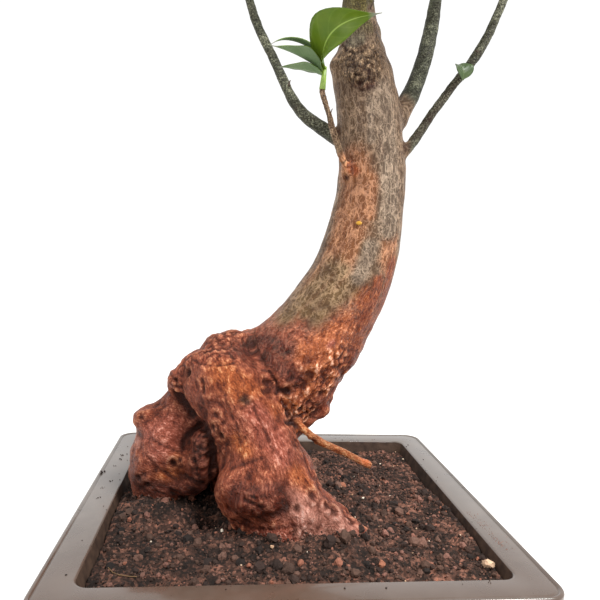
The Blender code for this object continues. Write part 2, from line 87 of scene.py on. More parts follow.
world = bpy.data.worlds.new("white room")
bpy.context.scene.world = world
world.use_nodes = True
ROOM_GLOW = 1.08
background = world.node_tree.nodes["Background"].inputs
background["Color"].default_value = linear("#ffffff")
background["Strength"].default_value = ROOM_GLOW
bpy.context.scene.view_settings.view_transform = "Standard"

TREE_MIDDLE = Vector((0, 0, 0.2))
# Each lamp points at the tree's middle: name, place and side in metres, and power in watts
LAMPS = [
    ("key lamp", (0.65, -0.65, 1.45), 0.5, 38),
    ("side lamp", (-1.3, -0.5, 0.9), 0.9, 7),
]
for name, place, size, watts in LAMPS:
    lamp = bpy.data.lights.new(name, "AREA")
    lamp.energy = watts
    lamp.size = size
    held = bpy.data.objects.new(name, lamp)
    held.location = place
    held.rotation_euler = (TREE_MIDDLE - held.location).to_track_quat("-Z", "Y").to_euler()
    bpy.context.scene.collection.objects.link(held)

# The camera stands where the photograph was taken, found from the four corners of the rim.
PHOTO_SIDE = 600
FOCAL_PIXELS = 606.6
SENSOR = 36
CAMERA_PLACE = Vector((-0.0437, -0.425, 0.2656))
YAW_RIGHT, PITCH_DOWN, ROLL = math.radians(6.5), math.radians(4.75), math.radians(2.48)
ahead = Vector(
    (
        math.sin(YAW_RIGHT) * math.cos(PITCH_DOWN),
        math.cos(YAW_RIGHT) * math.cos(PITCH_DOWN),
        -math.sin(PITCH_DOWN),
    )
)
level_right = Vector((math.cos(YAW_RIGHT), -math.sin(YAW_RIGHT), 0))
level_up = level_right.cross(ahead)
right = level_right * math.cos(ROLL) + level_up * math.sin(ROLL)
up = level_up * math.cos(ROLL) - level_right * math.sin(ROLL)
lens = bpy.data.cameras.new("photo camera")
lens.sensor_width = SENSOR
lens.lens = FOCAL_PIXELS * SENSOR / PHOTO_SIDE
camera = bpy.data.objects.new("photo camera", lens)
camera.matrix_world = Matrix.Translation(CAMERA_PLACE) @ Matrix((right, up, -ahead)).transposed().to_4x4()
bpy.context.scene.collection.objects.link(camera)
bpy.context.scene.camera = camera


def seen_at(surface, u, v):
    """The point and normal of a surface that the photograph shows at a pixel, or None."""
    aim = ahead + right * ((u - PHOTO_SIDE / 2) / FOCAL_PIXELS) + up * ((PHOTO_SIDE / 2 - v) / FOCAL_PIXELS)
    point, normal, _, _ = surface.ray_cast(CAMERA_PLACE, aim.normalized())
    return None if point is None else (point, normal)


# The tray.
# One injection-moulded piece of grey-brown polypropylene: a wide flat rim with a raised bead
# round its edge, thin sloping walls, four feet and four drain holes. Soil has dusted it.

RIM_INNER_HALF = 119 * MM
FOOT_HEIGHT = 6 * MM
FLOOR_THICK = 3.5 * MM
CORNER_STEPS = 9
SHARP_ANGLE = math.radians(40)
FOOT_CENTRE, FOOT_SIDE, FOOT_BEVEL = 80 * MM, 34 * MM, 1.2 * MM
DRAIN_CENTRE, DRAIN_RADIUS, DRAIN_DEPTH = 42 * MM, 6 * MM, 14 * MM


def put_on_ring(verts, half, corner, height):
    """Moves a ring of vertices onto a square with rounded corners."""
    for i, vert in enumerate(verts):
        quarter, step = divmod(i, CORNER_STEPS + 1)
        angle = math.radians(90 * (quarter + step / CORNER_STEPS))
        middle = math.radians(90 * quarter + 45)
        x = math.copysign(half - corner, math.cos(middle)) + corner * math.cos(angle)
        y = math.copysign(half - corner, math.sin(middle)) + corner * math.sin(angle)
        vert.co = (x, y, height)


def face_outwards(shape):
    """Turns the faces of a closed shape outwards."""
    bmesh.ops.recalc_face_normals(shape, faces=shape.faces)
    if shape.calc_volume(signed=True) < 0:
        bmesh.ops.reverse_faces(shape, faces=shape.faces)


# From under the floor, up the outside, over the rim and down the inside: half width, corner
# radius and height of each ring, in millimetres
TRAY_RINGS = [
    (98.5, 11, 6), (100, 12, 7.2), (120.5, 12, 81), (121.7, 12, 82), (136.2, 10.5, 82), (137, 10, 81.2),
    (137, 10, 80.5), (137.4, 10, 80), (139.2, 12, 80), (139.7, 12, 80.6), (140, 12, 87.6), (139.9, 12, 89),
    (139.4, 12, 89.8), (138.8, 11.8, 90), (138.2, 11.4, 89.9), (137.6, 11, 89.4), (137.2, 10.6, 89),
    (136.7, 10.4, 89.1), (136.2, 10, 89.5), (135.6, 9.8, 89.6), (120.9, 9, 89.6), (120, 8.6, 89.4),
    (119.3, 8.2, 88.9), (119, 8, 88.2), (98.6, 8, 13), (97.4, 8, 10.4), (95.4, 7, 9.5),
]
shape = bmesh.new()
ring = [shape.verts.new((i, 0, 0)) for i in range(4 * (CORNER_STEPS + 1))]
half, corner, height = TRAY_RINGS[0]
put_on_ring(ring, half * MM, corner * MM, height * MM)
underside = shape.faces.new(reversed(ring))
edges = list(underside.edges)
for half, corner, height in TRAY_RINGS[1:]:
    raised = bmesh.ops.extrude_edge_only(shape, edges=edges)["geom"]
    fresh = {item for item in raised if isinstance(item, bmesh.types.BMVert)}
    partner = {}
    for edge in shape.edges:
        a, b = edge.verts
        if (a in fresh) != (b in fresh):
            partner[b if a in fresh else a] = a if a in fresh else b
    ring = [partner[vert] for vert in ring]
    edges = [item for item in raised if isinstance(item, bmesh.types.BMEdge) and set(item.verts) <= fresh]
    put_on_ring(ring, half * MM, corner * MM, height * MM)
shape.faces.new(ring)
face_outwards(shape)
tray = new_piece("moulded_tray", shape)

feet, drains = bmesh.new(), bmesh.new()
for sx in (-1, 1):
    for sy in (-1, 1):
        place = Matrix.Translation((sx * FOOT_CENTRE, sy * FOOT_CENTRE, FOOT_HEIGHT / 2 + 0.5 * MM))
        block = bmesh.ops.create_cube(
            feet, size=1, matrix=place @ Matrix.Diagonal((FOOT_SIDE, FOOT_SIDE, FOOT_HEIGHT + MM, 1))
        )["verts"]
        edges = list({edge for vert in block for edge in vert.link_edges})
        bmesh.ops.bevel(
            feet, geom=edges, offset=FOOT_BEVEL, segments=2, profile=0.5, affect="EDGES", material=-1
        )
        bmesh.ops.create_cone(
            drains, cap_ends=True, segments=32, radius1=DRAIN_RADIUS, radius2=DRAIN_RADIUS, depth=DRAIN_DEPTH,
            matrix=Matrix.Translation((sx * DRAIN_CENTRE, sy * DRAIN_CENTRE, FOOT_HEIGHT)),
        )


def apply_modifiers(piece):
    """Makes what the modifiers show the piece's own mesh."""
    graph = bpy.context.evaluated_depsgraph_get()
    mesh = bpy.data.meshes.new_from_object(piece.evaluated_get(graph), depsgraph=graph)
    piece.modifiers.clear()
    piece.data = mesh


for operation, cutter_shape in (("UNION", feet), ("DIFFERENCE", drains)):
    cutter = new_piece("cutter", cutter_shape)
    cut = tray.modifiers.new(operation, "BOOLEAN")
    cut.operation = operation
    cut.solver = "EXACT"
    cut.object = cutter
    apply_modifiers(tray)
    bpy.data.objects.remove(cutter, do_unlink=True)


def add_node(material, kind, inputs=(), output=0, stops=(), **settings):
    """Adds a shader node and gives an output. Inputs, by name or in order, are values or outputs."""
    node = material.node_tree.nodes.new("ShaderNode" + kind)
    for name, value in settings.items():
        setattr(node, name, value)
    for socket, value in (inputs if isinstance(inputs, dict) else dict(enumerate(inputs))).items():
        if isinstance(value, bpy.types.NodeSocket):
            material.node_tree.links.new(value, node.inputs[socket])
        else:
            node.inputs[socket].default_value = value
    if stops:
        marks = node.color_ramp.elements
        while len(marks) < len(stops):
            marks.new(1)
        for mark, (position, colour) in zip(marks, stops):
            mark.position = position
            mark.color = linear(colour)
    return node.outputs[output]


def link(material, outputs):
    """Joins outputs to the shader's inputs of these names."""
    sockets = material.node_tree.nodes["Principled BSDF"].inputs
    for name, output in outputs.items():
        material.node_tree.links.new(output, sockets[name])


def per_metre(millimetres):
    """The scale of a pattern whose features are this far apart."""
    return 1000 / millimetres


# The reach of the inner wall's painted shade: half width, and heights above the table
SHADED_WALL_HALF, SHADED_WALL_FOOT, SHADED_WALL_TOP = 119.8 * MM, 20 * MM, 88.6 * MM

# Moulded polypropylene: satin, faintly stippled by the mould, with a dusty brown film where wet
# soil has splashed it, and duller there.
plastic = new_material(
    "moulded grey-brown polypropylene", "#56483e", 0.3,
    {"IOR": 1.49, "Coat Weight": 0.5, "Coat Roughness": 0.12},
)
place = add_node(plastic, "TexCoord", output="Object")
smudge = add_node(
    plastic, "TexNoise", {"Vector": place, "Scale": per_metre(26), "Detail": 6, "Roughness": 0.62}
)
speck = add_node(
    plastic, "TexNoise", {"Vector": place, "Scale": per_metre(1.6), "Detail": 3, "Roughness": 0.7}
)
spread = add_node(plastic, "VectorMath", (place,), operation="ABSOLUTE")
sides = [add_node(plastic, "SeparateXYZ", (spread,), axis) for axis in ("X", "Y")]
widest = add_node(plastic, "Math", sides, operation="MAXIMUM")
near_hole = add_node(plastic, "MapRange", (widest, RIM_INNER_HALF, 131 * MM, 0.55, 0))
patchy = add_node(plastic, "MapRange", (smudge, 0.45, 0.68))
film = add_node(plastic, "Math", (near_hole, patchy), operation="MULTIPLY")
# Most of the mud splashed onto the front of the rim.
from_front = add_node(plastic, "SeparateXYZ", (place,), "Y")
front = add_node(plastic, "MapRange", (from_front, -145 * MM, -20 * MM, 0.75, 0))
film = add_node(plastic, "Math", (film, front), operation="MAXIMUM")
clean = add_node(plastic, "ValToRGB", (smudge,), stops=[(0.3, "#4d443e"), (0.5, "#5a514a"), (0.7, "#685f58")])
dusted = add_node(plastic, "Mix", {0: film, 6: clean, 7: linear("#453022")}, 2, data_type="RGBA")
dull = add_node(plastic, "MapRange", (smudge, 0.3, 0.75, 0.22, 0.42))
stipple = add_node(plastic, "Bump", {"Height": speck, "Strength": 0.12, "Distance": 0.2 * MM})
link(plastic, {"Base Color": dusted, "Roughness": dull, "Normal": stipple})
# Down inside, the wall nearly to the rim is darker and dull: painted shade.
shaded_wall = new_material("inner wall in painted shade", "#3c2c24", 0.8, {"Specular IOR Level": 0.2})
place = add_node(shaded_wall, "TexCoord", output="Object")
blotch = add_node(
    shaded_wall, "TexNoise", {"Vector": place, "Scale": per_metre(8), "Detail": 5, "Roughness": 0.6}
)
blotched_shade = add_node(shaded_wall, "ValToRGB", (blotch,), stops=[(0.35, "#2c1f18"), (0.65, "#453429")])
link(shaded_wall, {"Base Color": blotched_shade})
tray.data.materials.clear()
tray.data.materials.append(plastic)
tray.data.materials.append(shaded_wall)
for face in tray.data.polygons:
    if max(abs(face.center.x), abs(face.center.y)) < SHADED_WALL_HALF and SHADED_WALL_FOOT < face.center.z < SHADED_WALL_TOP:
        face.material_index = 1
tray.data.shade_smooth()
tray.data.set_sharp_from_angle(angle=SHARP_ANGLE)
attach(tray, "root")
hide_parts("tray")

# The soil.
# A dark brown potting mix with crumbs of red laterite, grit and a few pale bits. It was poured
# in and pressed round the roots by hand, and watering has left it crumbly and mounded.

SOIL_TOP = 80.5 * MM
SOIL_CELLS = 275
SOIL_TOP_HALF, SOIL_CORNER = 116.2 * MM, 8 * MM
SOIL_BASE_HALF, SOIL_BASE_CORNER = 95 * MM, 6 * MM


def swell(x, y, height, centre, spread):
    """A rounded mound, all sizes but x and y in millimetres."""
    along, across = (x / MM - centre[0]) / spread[0], (y / MM - centre[1]) / spread[1]
    return height * MM * math.exp(-(along**2) - across**2)


def soil_height(x, y):
    """The soil's broad shape, as the solid under it has it."""
    mound = swell(x, y, 7.5, (-15, -14), (72, 66)) + swell(x, y, 8, (-92, -14), (26, 26))
    mound += swell(x, y, 3.5, (8, -70), (38, 20)) - swell(x, y, 9, (-52, -28), (13, 15))
    lumps = 2.4 * MM * noise.fractal(Vector((x, y, 0)) / (22 * MM), 0.8, 2.2, 3)
    edge = max(abs(x), abs(y)) / RIM_INNER_HALF
    return SOIL_TOP + mound + lumps * (1 - max(0, edge - 0.9) * 6)


def crumbs_at(x, y, size):
    """Height of round crumbs packed side by side, from 0 between them to 1 on top."""
    distance = noise.voronoi(Vector((x, y, 0.3 * size)) / size)[0][0]
    return math.sqrt(max(0, 1 - (distance / 0.75) ** 2))


def soil_surface(x, y):
    """The soil's height with its clods and crumbs."""
    here = Vector((x, y, 0))
    lumps = noise.noise(here / (9 * MM)) * 1.1
    clods = crumbs_at(x + 3 * MM * noise.noise(here / (8 * MM)), y, 7 * MM) * 1.9
    clods *= max(0, 0.4 + noise.noise(here / (14 * MM)))
    crumbs = crumbs_at(x, y, 3.1 * MM) * 1.4
    grains = crumbs_at(y, x, 1.5 * MM) * 0.6
    # Along the right wall and in front of the left root it is heaped higher.
    heap = swell(x, y, 4.2, (114, -45), (17, 55)) + swell(x, y, 3.2, (-97, -32), (15, 13))
    return soil_height(x, y) + heap + (lumps + clods + crumbs + grains - 1.6) * MM


def squash_corner(x, y, half, corner):
    """Moves a point of a square grid into the same square with rounded corners."""
    inset = half - corner
    over_x, over_y = (abs(x) - inset) / corner, (abs(y) - inset) / corner
    if over_x <= 0 or over_y <= 0:
        return x, y
    round_x = inset + corner * over_x * math.sqrt(1 - over_y**2 / 2)
    round_y = inset + corner * over_y * math.sqrt(1 - over_x**2 / 2)
    return math.copysign(round_x, x), math.copysign(round_y, y)


shape = bmesh.new()
bmesh.ops.create_grid(shape, x_segments=SOIL_CELLS, y_segments=SOIL_CELLS, size=1)
top_verts = list(shape.verts)
sides = bmesh.ops.extrude_edge_only(shape, edges=[edge for edge in shape.edges if edge.is_boundary])["geom"]
low_verts = [item for item in sides if isinstance(item, bmesh.types.BMVert)]
bmesh.ops.edgeloop_fill(shape, edges=[edge for edge in shape.edges if edge.is_boundary])
soil_floor = FOOT_HEIGHT + FLOOR_THICK + 0.4 * MM
for vert in low_verts:
    x, y = vert.co.xy * SOIL_BASE_HALF
    vert.co = (*squash_corner(x, y, SOIL_BASE_HALF, SOIL_BASE_CORNER), soil_floor)
for vert in top_verts:
    x, y = squash_corner(*(vert.co.xy * SOIL_TOP_HALF), SOIL_TOP_HALF, SOIL_CORNER)
    vert.co = (x, y, soil_surface(x, y))
face_outwards(shape)
soil_tree = BVHTree.FromBMesh(shape)

# Damp potting soil: no shine, every crumb its own brown, a few red, tan or pale.
EARTH_STOPS = [
    (0.0, "#0e0906"), (0.3, "#20150f"), (0.5, "#3f2920"), (0.66, "#5e3f32"), (0.8, "#765042"),
    (0.91, "#7c4d3b"), (0.97, "#8c6046"), (1.0, "#a58a6e"),
]
earth = new_material("damp potting soil", "#3b2e28", 0.9, {"Specular IOR Level": 0.25})
place = add_node(earth, "TexCoord", output="Object")
wobble = add_node(earth, "TexNoise", {"Vector": place, "Scale": per_metre(2.0), "Detail": 4})
cells = add_node(earth, "TexVoronoi", {"Vector": place, "Scale": per_metre(2.3), "Randomness": 1.0}, "Color")
tone = add_node(earth, "SeparateColor", (cells,))
patches = add_node(
    earth, "TexNoise", {"Vector": place, "Scale": per_metre(17), "Detail": 5, "Roughness": 0.6}
)
spread = add_node(earth, "Math", (tone, wobble), operation="MULTIPLY")
spread = add_node(earth, "Math", (spread, 0.55, patches), operation="MULTIPLY_ADD")
level = add_node(earth, "MapRange", (spread, 0.36, 1.05))
browns = add_node(earth, "ValToRGB", (level,), stops=EARTH_STOPS)


def shaded_left_lit_right(material, colour, place):
    """The colour made darker on the left side of the soil, as painted shade, and paler on the right, as
    painted light.
    """
    across = add_node(material, "SeparateXYZ", (place,), "X")
    pale = add_node(material, "MapRange", (across, -100 * MM, 100 * MM, 0.85, 1.35))
    return add_node(material, "VectorMath", {0: colour, 3: pale}, operation="SCALE")


# Painted shade on the soil's left and painted light on its right.
browns = shaded_left_lit_right(earth, browns, place)
# Deep in the hollow beside the root the soil is painted nearly black: painted shade.
low = add_node(earth, "SeparateXYZ", (place,), "Z")
soil_pit_shade = add_node(earth, "MapRange", (low, 76 * MM, 79.5 * MM, 0.9, 0))
darkened = add_node(earth, "Mix", {0: soil_pit_shade, 6: browns, 7: linear("#0c0705")}, 2, data_type="RGBA")
crumble = add_node(earth, "Bump", {"Height": wobble, "Strength": 1.0, "Distance": 1.6 * MM})
link(earth, {"Base Color": darkened, "Normal": crumble})

soil = new_piece("potting_soil", shape, earth)
soil.data.shade_smooth()
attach(soil, "root")
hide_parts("soil")

# Loose crumbs, grit and small stones lie on the soil. Each is a broken lump, so its corners
# are uneven, and its colour is its own.


def lumps_like(seed, count, subdivisions):
    """Corner places and faces of a few uneven lumps, about 1 across."""
    rng = random.Random(seed)
    made = []
    for _ in range(count):
        lump = bmesh.new()
        bmesh.ops.create_icosphere(lump, subdivisions=subdivisions, radius=0.5)
        for vert in lump.verts:
            vert.co *= rng.uniform(0.72, 1.12)
            vert.co.z *= 0.8
        mesh = bpy.data.meshes.new("lump")
        lump.to_mesh(mesh)
        lump.free()
        places = np.array([vert.co for vert in mesh.vertices])
        faces = np.array([list(face.vertices) for face in mesh.polygons])
        made.append((places, faces))
        bpy.data.meshes.remove(mesh)
    return made


def scatter(name, lumps, placings, material):
    """One piece of many lumps. A placing is a point, a size, a turn and a colour share."""
    places, faces, shares, start = [], [], [], 0
    for i, (point, size, turn, share) in enumerate(placings):
        lump, sides = lumps[i % len(lumps)]
        spin = np.array(turn.to_matrix())
        places.append(lump @ spin.T * size + np.array(point))
        faces.append(sides + start)
        shares.append(np.full(len(lump), share))
        start += len(lump)
    mesh = bpy.data.meshes.new(name)
    mesh.from_pydata(np.concatenate(places).tolist(), [], np.concatenate(faces).tolist())
    attribute = mesh.attributes.new("share", "FLOAT", "POINT")
    attribute.data.foreach_set("value", np.concatenate(shares).astype(np.float32))
    mesh.materials.append(material)
    piece = bpy.data.objects.new(name, mesh)
    bpy.context.scene.collection.objects.link(piece)
    return piece


def random_turn(rng):
    """A random rotation."""
    return Vector((rng.gauss(0, 1), rng.gauss(0, 1), rng.gauss(0, 1))).to_track_quat("Z", "Y")


# Dry grit and broken laterite: duller than stone, dark with rusty, tan and chalky pieces.
GRIT_STOPS = [
    (0.0, "#150e0a"), (0.3, "#2a1c16"), (0.5, "#443026"), (0.66, "#5b4136"), (0.8, "#6b493e"),
    (0.88, "#7e4e3b"), (0.94, "#9a7250"), (1.0, "#cdc2b0"),
]
grit = new_material("soil grit", "#3b2e28", 0.85, {"Specular IOR Level": 0.3})
share = add_node(grit, "Attribute", output="Fac", attribute_name="share")
place = add_node(grit, "TexCoord", output="Object")
mottle = add_node(grit, "TexNoise", {"Vector": place, "Scale": per_metre(1.3), "Detail": 4})
shade = add_node(grit, "MapRange", (mottle, 0.3, 0.7, 0.75, 1.2))
tint = add_node(grit, "ValToRGB", (share,), stops=GRIT_STOPS)
graded = add_node(grit, "VectorMath", {0: tint, 3: shade}, operation="SCALE")
rough = add_node(grit, "Bump", {"Height": mottle, "Strength": 0.8, "Distance": 0.6 * MM})
# The grit gets the same painted shade on the left and painted light on the right.
link(grit, {"Base Color": shaded_left_lit_right(grit, graded, place), "Normal": rough})

CRUMB_COUNT, STONE_COUNT, FLECK_COUNT = 6500, 230, 34
# Sizes of the crumbs in mm: the least, how much more they are on average, and the most
CRUMB_LEAST, CRUMB_MORE, CRUMB_MOST = 1.0, 0.75, 4.2
rng = random.Random(11)
reach = 114 * MM
placings = []
for _ in range(CRUMB_COUNT):
    x, y = rng.uniform(-reach, reach), rng.uniform(-reach, reach)
    size = min(CRUMB_MOST, CRUMB_LEAST + rng.expovariate(1 / CRUMB_MORE)) * MM
    place = Vector((x, y, soil_surface(x, y) + 0.12 * size))
    placings.append((place, size, random_turn(rng), 0.22 + rng.random() ** 1.8 * 0.66))
crumb_piece = scatter("soil_crumbs", lumps_like(3, 9, 1), placings, grit)
placings = []
for _ in range(STONE_COUNT):
    x, y = rng.uniform(-reach, reach), rng.uniform(-reach, reach)
    size = rng.uniform(3.5, 7.5) * MM
    place = Vector((x, y, soil_surface(x, y) + 0.02 * size))
    placings.append((place, size, random_turn(rng), rng.random() ** 1.4 * 0.9))

# Stones and bits that can be told apart in the photograph: pixel, size in mm, colour share
SEEN_STONES = [
    ((488, 567), 8.0, 0.955), ((339, 565), 6.0, 0.86), ((382, 566), 5.0, 0.885), ((488, 552), 5.0, 0.87),
    ((466, 529), 5.5, 0.82), ((385, 535), 5.5, 0.80), ((399, 514), 7.5, 0.62), ((414, 544), 7.5, 0.60),
    ((345, 540), 9.0, 0.5), ((352, 536), 6.0, 0.4), ((338, 543), 5.0, 0.45), ((258, 536), 9.0, 0.3),
    ((243, 533), 8.0, 0.22), ((272, 540), 8.0, 0.35), ((330, 545), 9.0, 0.25), ((360, 532), 7.0, 0.3),
    ((259, 571), 8.0, 0.30), ((288, 573), 8.5, 0.42), ((355, 575), 6.0, 0.5), ((440, 560), 6.0, 0.45),
    ((455, 500), 6.0, 0.6), ((430, 500), 5.0, 0.7), ((150, 540), 6.0, 0.5), ((123, 520), 6.5, 0.45),
    ((180, 560), 5.5, 0.55), ((235, 560), 5.0, 0.6), ((205, 530), 4.0, 0.72), ((147, 517), 5.0, 0.8),
    ((463, 547), 5.0, 0.75), ((372, 553), 6.0, 0.5), ((420, 575), 5.0, 0.6),
]


def seen_bits(bits, raised):
    """Placings of bits told apart in the photograph, raised by a share of their size."""
    made = []
    for (u, v), size, share_value in bits:
        found = seen_at(soil_tree, u, v)
        if found:
            place = found[0] + Vector((0, 0, raised * size * MM))
            made.append((place, size * MM, random_turn(rng), share_value))
    return made


placings += seen_bits(SEEN_STONES, 0.2)
stones = scatter("soil_stones", lumps_like(5, 11, 2), placings, grit)
# Small pale and rusty flecks
SEEN_FLECKS = [
    ((222, 532), 3.0, 1.0), ((272, 548), 2.6, 0.95), ((363, 499), 2.6, 1.0), ((390, 497), 2.2, 0.98),
    ((473, 533), 2.4, 1.0), ((403, 460), 2.2, 0.97), ((490, 515), 1.8, 1.0), ((355, 518), 1.6, 0.98),
]
placings = seen_bits(SEEN_FLECKS, 0.3)
for _ in range(FLECK_COUNT):
    x, y = rng.uniform(-reach, reach), rng.uniform(-reach, reach)
    place = Vector((x, y, soil_surface(x, y) + 0.5 * MM))
    placings.append((place, rng.uniform(0.8, 1.7) * MM, random_turn(rng), rng.uniform(0.94, 1)))
flecks = scatter("soil_flecks", lumps_like(7, 5, 1), placings, grit)

# Crumbs that fell on the rim and cling to its inner edge: pixel and size in mm
SPILT = [
    ((104, 472), 3.2), ((123, 455), 2.6), ((120, 459), 2.0), ((111, 481), 1.6), ((103, 488), 1.4),
    ((98, 498), 1.2), ((115, 466), 1.2), ((490, 582), 1.3),
]
TRAIL_COUNT, RIM_COUNT = 130, 30


def tree_of(piece):
    """A search tree of a piece's surface."""
    return BVHTree.FromObject(piece, bpy.context.evaluated_depsgraph_get())


tray_tree = tree_of(tray)
placings = []
for (u, v), size in SPILT:
    point, _ = seen_at(tray_tree, u, v)
    for _ in range(5):
        shift = Vector((rng.gauss(0, 0.5), rng.gauss(0, 0.5), 0.1)) * size * MM
        placings.append((point + shift, size * rng.uniform(0.35, 0.7) * MM, random_turn(rng), 0.3))
# A trail of fine crumbs along the right rim's inner edge
for _ in range(TRAIL_COUNT):
    along = rng.random()
    found = seen_at(tray_tree, 466 + 38 * along + abs(rng.gauss(0, 5)), 512 + 38 * along)
    if found and found[1].z > 0.9:
        placings.append((found[0], rng.uniform(0.3, 0.8) * MM, random_turn(rng), 0.55 + 0.35 * rng.random()))
for _ in range(RIM_COUNT):
    along, side = rng.uniform(-112, 112) * MM, rng.choice((-1, 1))
    out = (119.6 + abs(rng.gauss(0, 3.5))) * MM * side
    x, y = (out, along) if rng.random() < 0.5 else (along, out)
    placings.append(
        (Vector((x, y, 89.75 * MM)), rng.uniform(0.5, 1.5) * MM, random_turn(rng), rng.random() * 0.7)
    )
spilt = scatter("rim_crumbs", lumps_like(9, 5, 1), placings, grit)

# A thin dead root lies on the soil in the near left corner: pixels along it
THREAD = [(106, 566), (109, 570), (113, 574), (118, 576), (124, 577), (130, 578), (137, 578)]
THREAD_RADIUS, THREAD_RAISED = 0.32 * MM, 0.8 * MM
dead_root = new_material("dry dead root", "#5d4426", 0.7)


def add_rod(shape, start, end, low_radius, high_radius, segments):
    """Adds a tapering rod between two points. Returns its vertices."""
    turn = (end - start).to_track_quat("Z", "Y").to_matrix().to_4x4()
    return bmesh.ops.create_cone(
        shape, cap_ends=True, segments=segments, radius1=low_radius, radius2=high_radius,
        depth=(end - start).length, matrix=Matrix.Translation((start + end) / 2) @ turn,
    )["verts"]


shape = bmesh.new()
row = [seen_at(soil_tree, u, v)[0] + Vector((0, 0, THREAD_RAISED)) for u, v in THREAD]
for start, end in zip(row, row[1:]):
    add_rod(shape, start, end, THREAD_RADIUS, THREAD_RADIUS, 8)
thread = new_piece("root_thread", shape, dead_root)
for piece in (crumb_piece, stones, flecks, spilt, thread):
    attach(piece, "root")

# The wood.
# One grown piece. The root base is fat and lumpy with thin wet red-brown skin, knots, scars and
# deep creases where roots meet. The trunk above has thin grey-brown bark with pale streaks, and
# the leader and branches are young and olive.

WOOD_VOXEL = 1.3 * MM
LOST_TO_SMOOTHING = 0.25 * MM
BURIED = 64 * MM  # nothing is kept of the roots below this height, deep in the soil
shape = bmesh.new()
shape.from_mesh(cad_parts["wood"].data)
bmesh.ops.remove_doubles(shape, verts=shape.verts, dist=0.01 * MM)
shape.normal_update()
# Smoothing takes a little off the twigs, so the solid is swollen by that much first.
for vert in shape.verts:
    vert.co += vert.normal * LOST_TO_SMOOTHING
wood = new_piece("living_wood", shape)
rounded = wood.modifiers.new("rounded", "SUBSURF")
rounded.levels = rounded.render_levels = 1
fused = wood.modifiers.new("fused", "REMESH")
fused.mode = "VOXEL"
fused.voxel_size = WOOD_VOXEL
softened = wood.modifiers.new("softened", "SMOOTH")
softened.factor = 0.5
softened.iterations = 3
apply_modifiers(wood)
shape = bmesh.new()
shape.from_mesh(wood.data)
cut = bmesh.ops.bisect_plane(
    shape, geom=shape.verts[:] + shape.edges[:] + shape.faces[:], plane_co=(0, 0, BURIED),
    plane_no=(0, 0, -1), clear_outer=True,
)
rim = [item for item in cut["geom_cut"] if isinstance(item, bmesh.types.BMEdge)]
bmesh.ops.holes_fill(shape, edges=rim, sides=0)
bmesh.ops.recalc_face_normals(shape, faces=shape.faces)
shape.to_mesh(wood.data)
shape.free()


def vertex_vectors(items, value):
    """A vector for each vertex, as rows of an array."""
    flat = np.empty(len(items) * 3)
    items.foreach_get(value, flat)
    return flat.reshape(-1, 3)


count = len(wood.data.vertices)
places = vertex_vectors(wood.data.vertices, "co")
normals = vertex_vectors(wood.data.vertex_normals, "vector")
wood_tree = tree_of(wood)

# The fibres run along these centre lines, in millimetres: the trunk, the front, left and back
# roots, the thin orange root stub and the twig
TRUNK_LINE = [
    (-26, 10, 118), (-18, 8, 150), (1, 6, 181), (19, 6, 206), (33, 6, 229), (42, 5, 249), (50, 3, 287),
    (52, 0, 323), (48, 0, 358), (42, 0, 387), (38, -3, 421), (35, 0, 456), (29, 3, 508),
]
FRONT_LINE = [(-58, 2, 190), (-44, -10, 168), (-25, -22, 139), (-12, -36, 110), (4, -46, 80)]
LEFT_LINE = [(-60, 10, 170), (-79, 8, 132), (-88, 10, 100), (-87, 12, 70)]
STUB_LINE = [(-2, -22, 150), (7, -24, 145), (20, -25, 135.5), (40, -26, 127), (56, -28, 119.5)]
BACK_LINE = [(-30, 22, 162), (-34, 45, 125), (-28, 64, 80)]
TWIG_LINE = [(26, -18, 330), (18, -22, 348), (11.6, -24.3, 365), (10.6, -24.9, 372)]


def along_line(line):
    """Distance of every vertex from a centre line, how far along it lies, and which way out."""
    best = np.full(count, 1e9)
    run = np.zeros(count)
    out = np.zeros((count, 3))
    done = 0.0
    for start, end in zip(line, line[1:]):
        start, end = np.array(start) * MM, np.array(end) * MM
        step = end - start
        length = np.linalg.norm(step)
        share_along = np.clip((places - start) @ step / length**2, 0, 1)
        away = places - (start + share_along[:, None] * step)
        distance = np.linalg.norm(away, axis=1)
        nearer = distance < best
        best[nearer] = distance[nearer]
        run[nearer] = done + share_along[nearer] * length
        out[nearer] = away[nearer] / np.maximum(distance[nearer, None], 1e-9)
        done += length
    return best, run, out


fibres = np.zeros((count, 3))
nearest = np.full(count, 1e9)
for line, girth in (
    (TRUNK_LINE, 26), (FRONT_LINE, 24), (LEFT_LINE, 22), (BACK_LINE, 20), (STUB_LINE, 3), (TWIG_LINE, 2.5),
):
    distance, run, out = along_line(line)
    grown = distance - girth * MM
    nearer = grown < nearest
    nearest[nearer] = grown[nearer]
    fibres[nearer] = np.column_stack((out[:, 0] * girth * MM, out[:, 1] * girth * MM, run))[nearer]

# On the left lobe the fine wrinkles run across, down to the right.
LOBE_GRAIN = Vector((1, 0.2, -0.4)).normalized()
lobe_side = LOBE_GRAIN.orthogonal().normalized()
lobe_frame = np.array([lobe_side, LOBE_GRAIN.cross(lobe_side), LOBE_GRAIN])
trunk_distance, front_distance, left_distance, stub_distance, twig_distance = (
    along_line(line)[0] for line in (TRUNK_LINE, FRONT_LINE, LEFT_LINE, STUB_LINE, TWIG_LINE)
)
on_lobe = (left_distance < front_distance) & (places[:, 0] < -0.055)
fibres[on_lobe] = places[on_lobe] @ lobe_frame.T
x, _, z = places.T


def away_from(point):
    """Distance of every vertex from a point."""
    return np.linalg.norm(places - np.array(point), axis=1)


def ramp(values, low, high):
    """0 below low, 1 above high, smooth between."""
    share_of = np.clip((values - low) / (high - low), 0, 1)
    return share_of * share_of * (3 - 2 * share_of)


def noise_over(points, size, kind="plain", seed=0.0):
    """Noise at each point. Ridged noise is 0 in thin valleys, whose sides rise to 1."""
    shift = Vector((seed, seed * 1.7, -seed))
    values = np.array([noise.noise(Vector(point) / size + shift) for point in points])
    return np.clip(np.abs(values) * 2.5, 0, 1) if kind == "ridged" else values


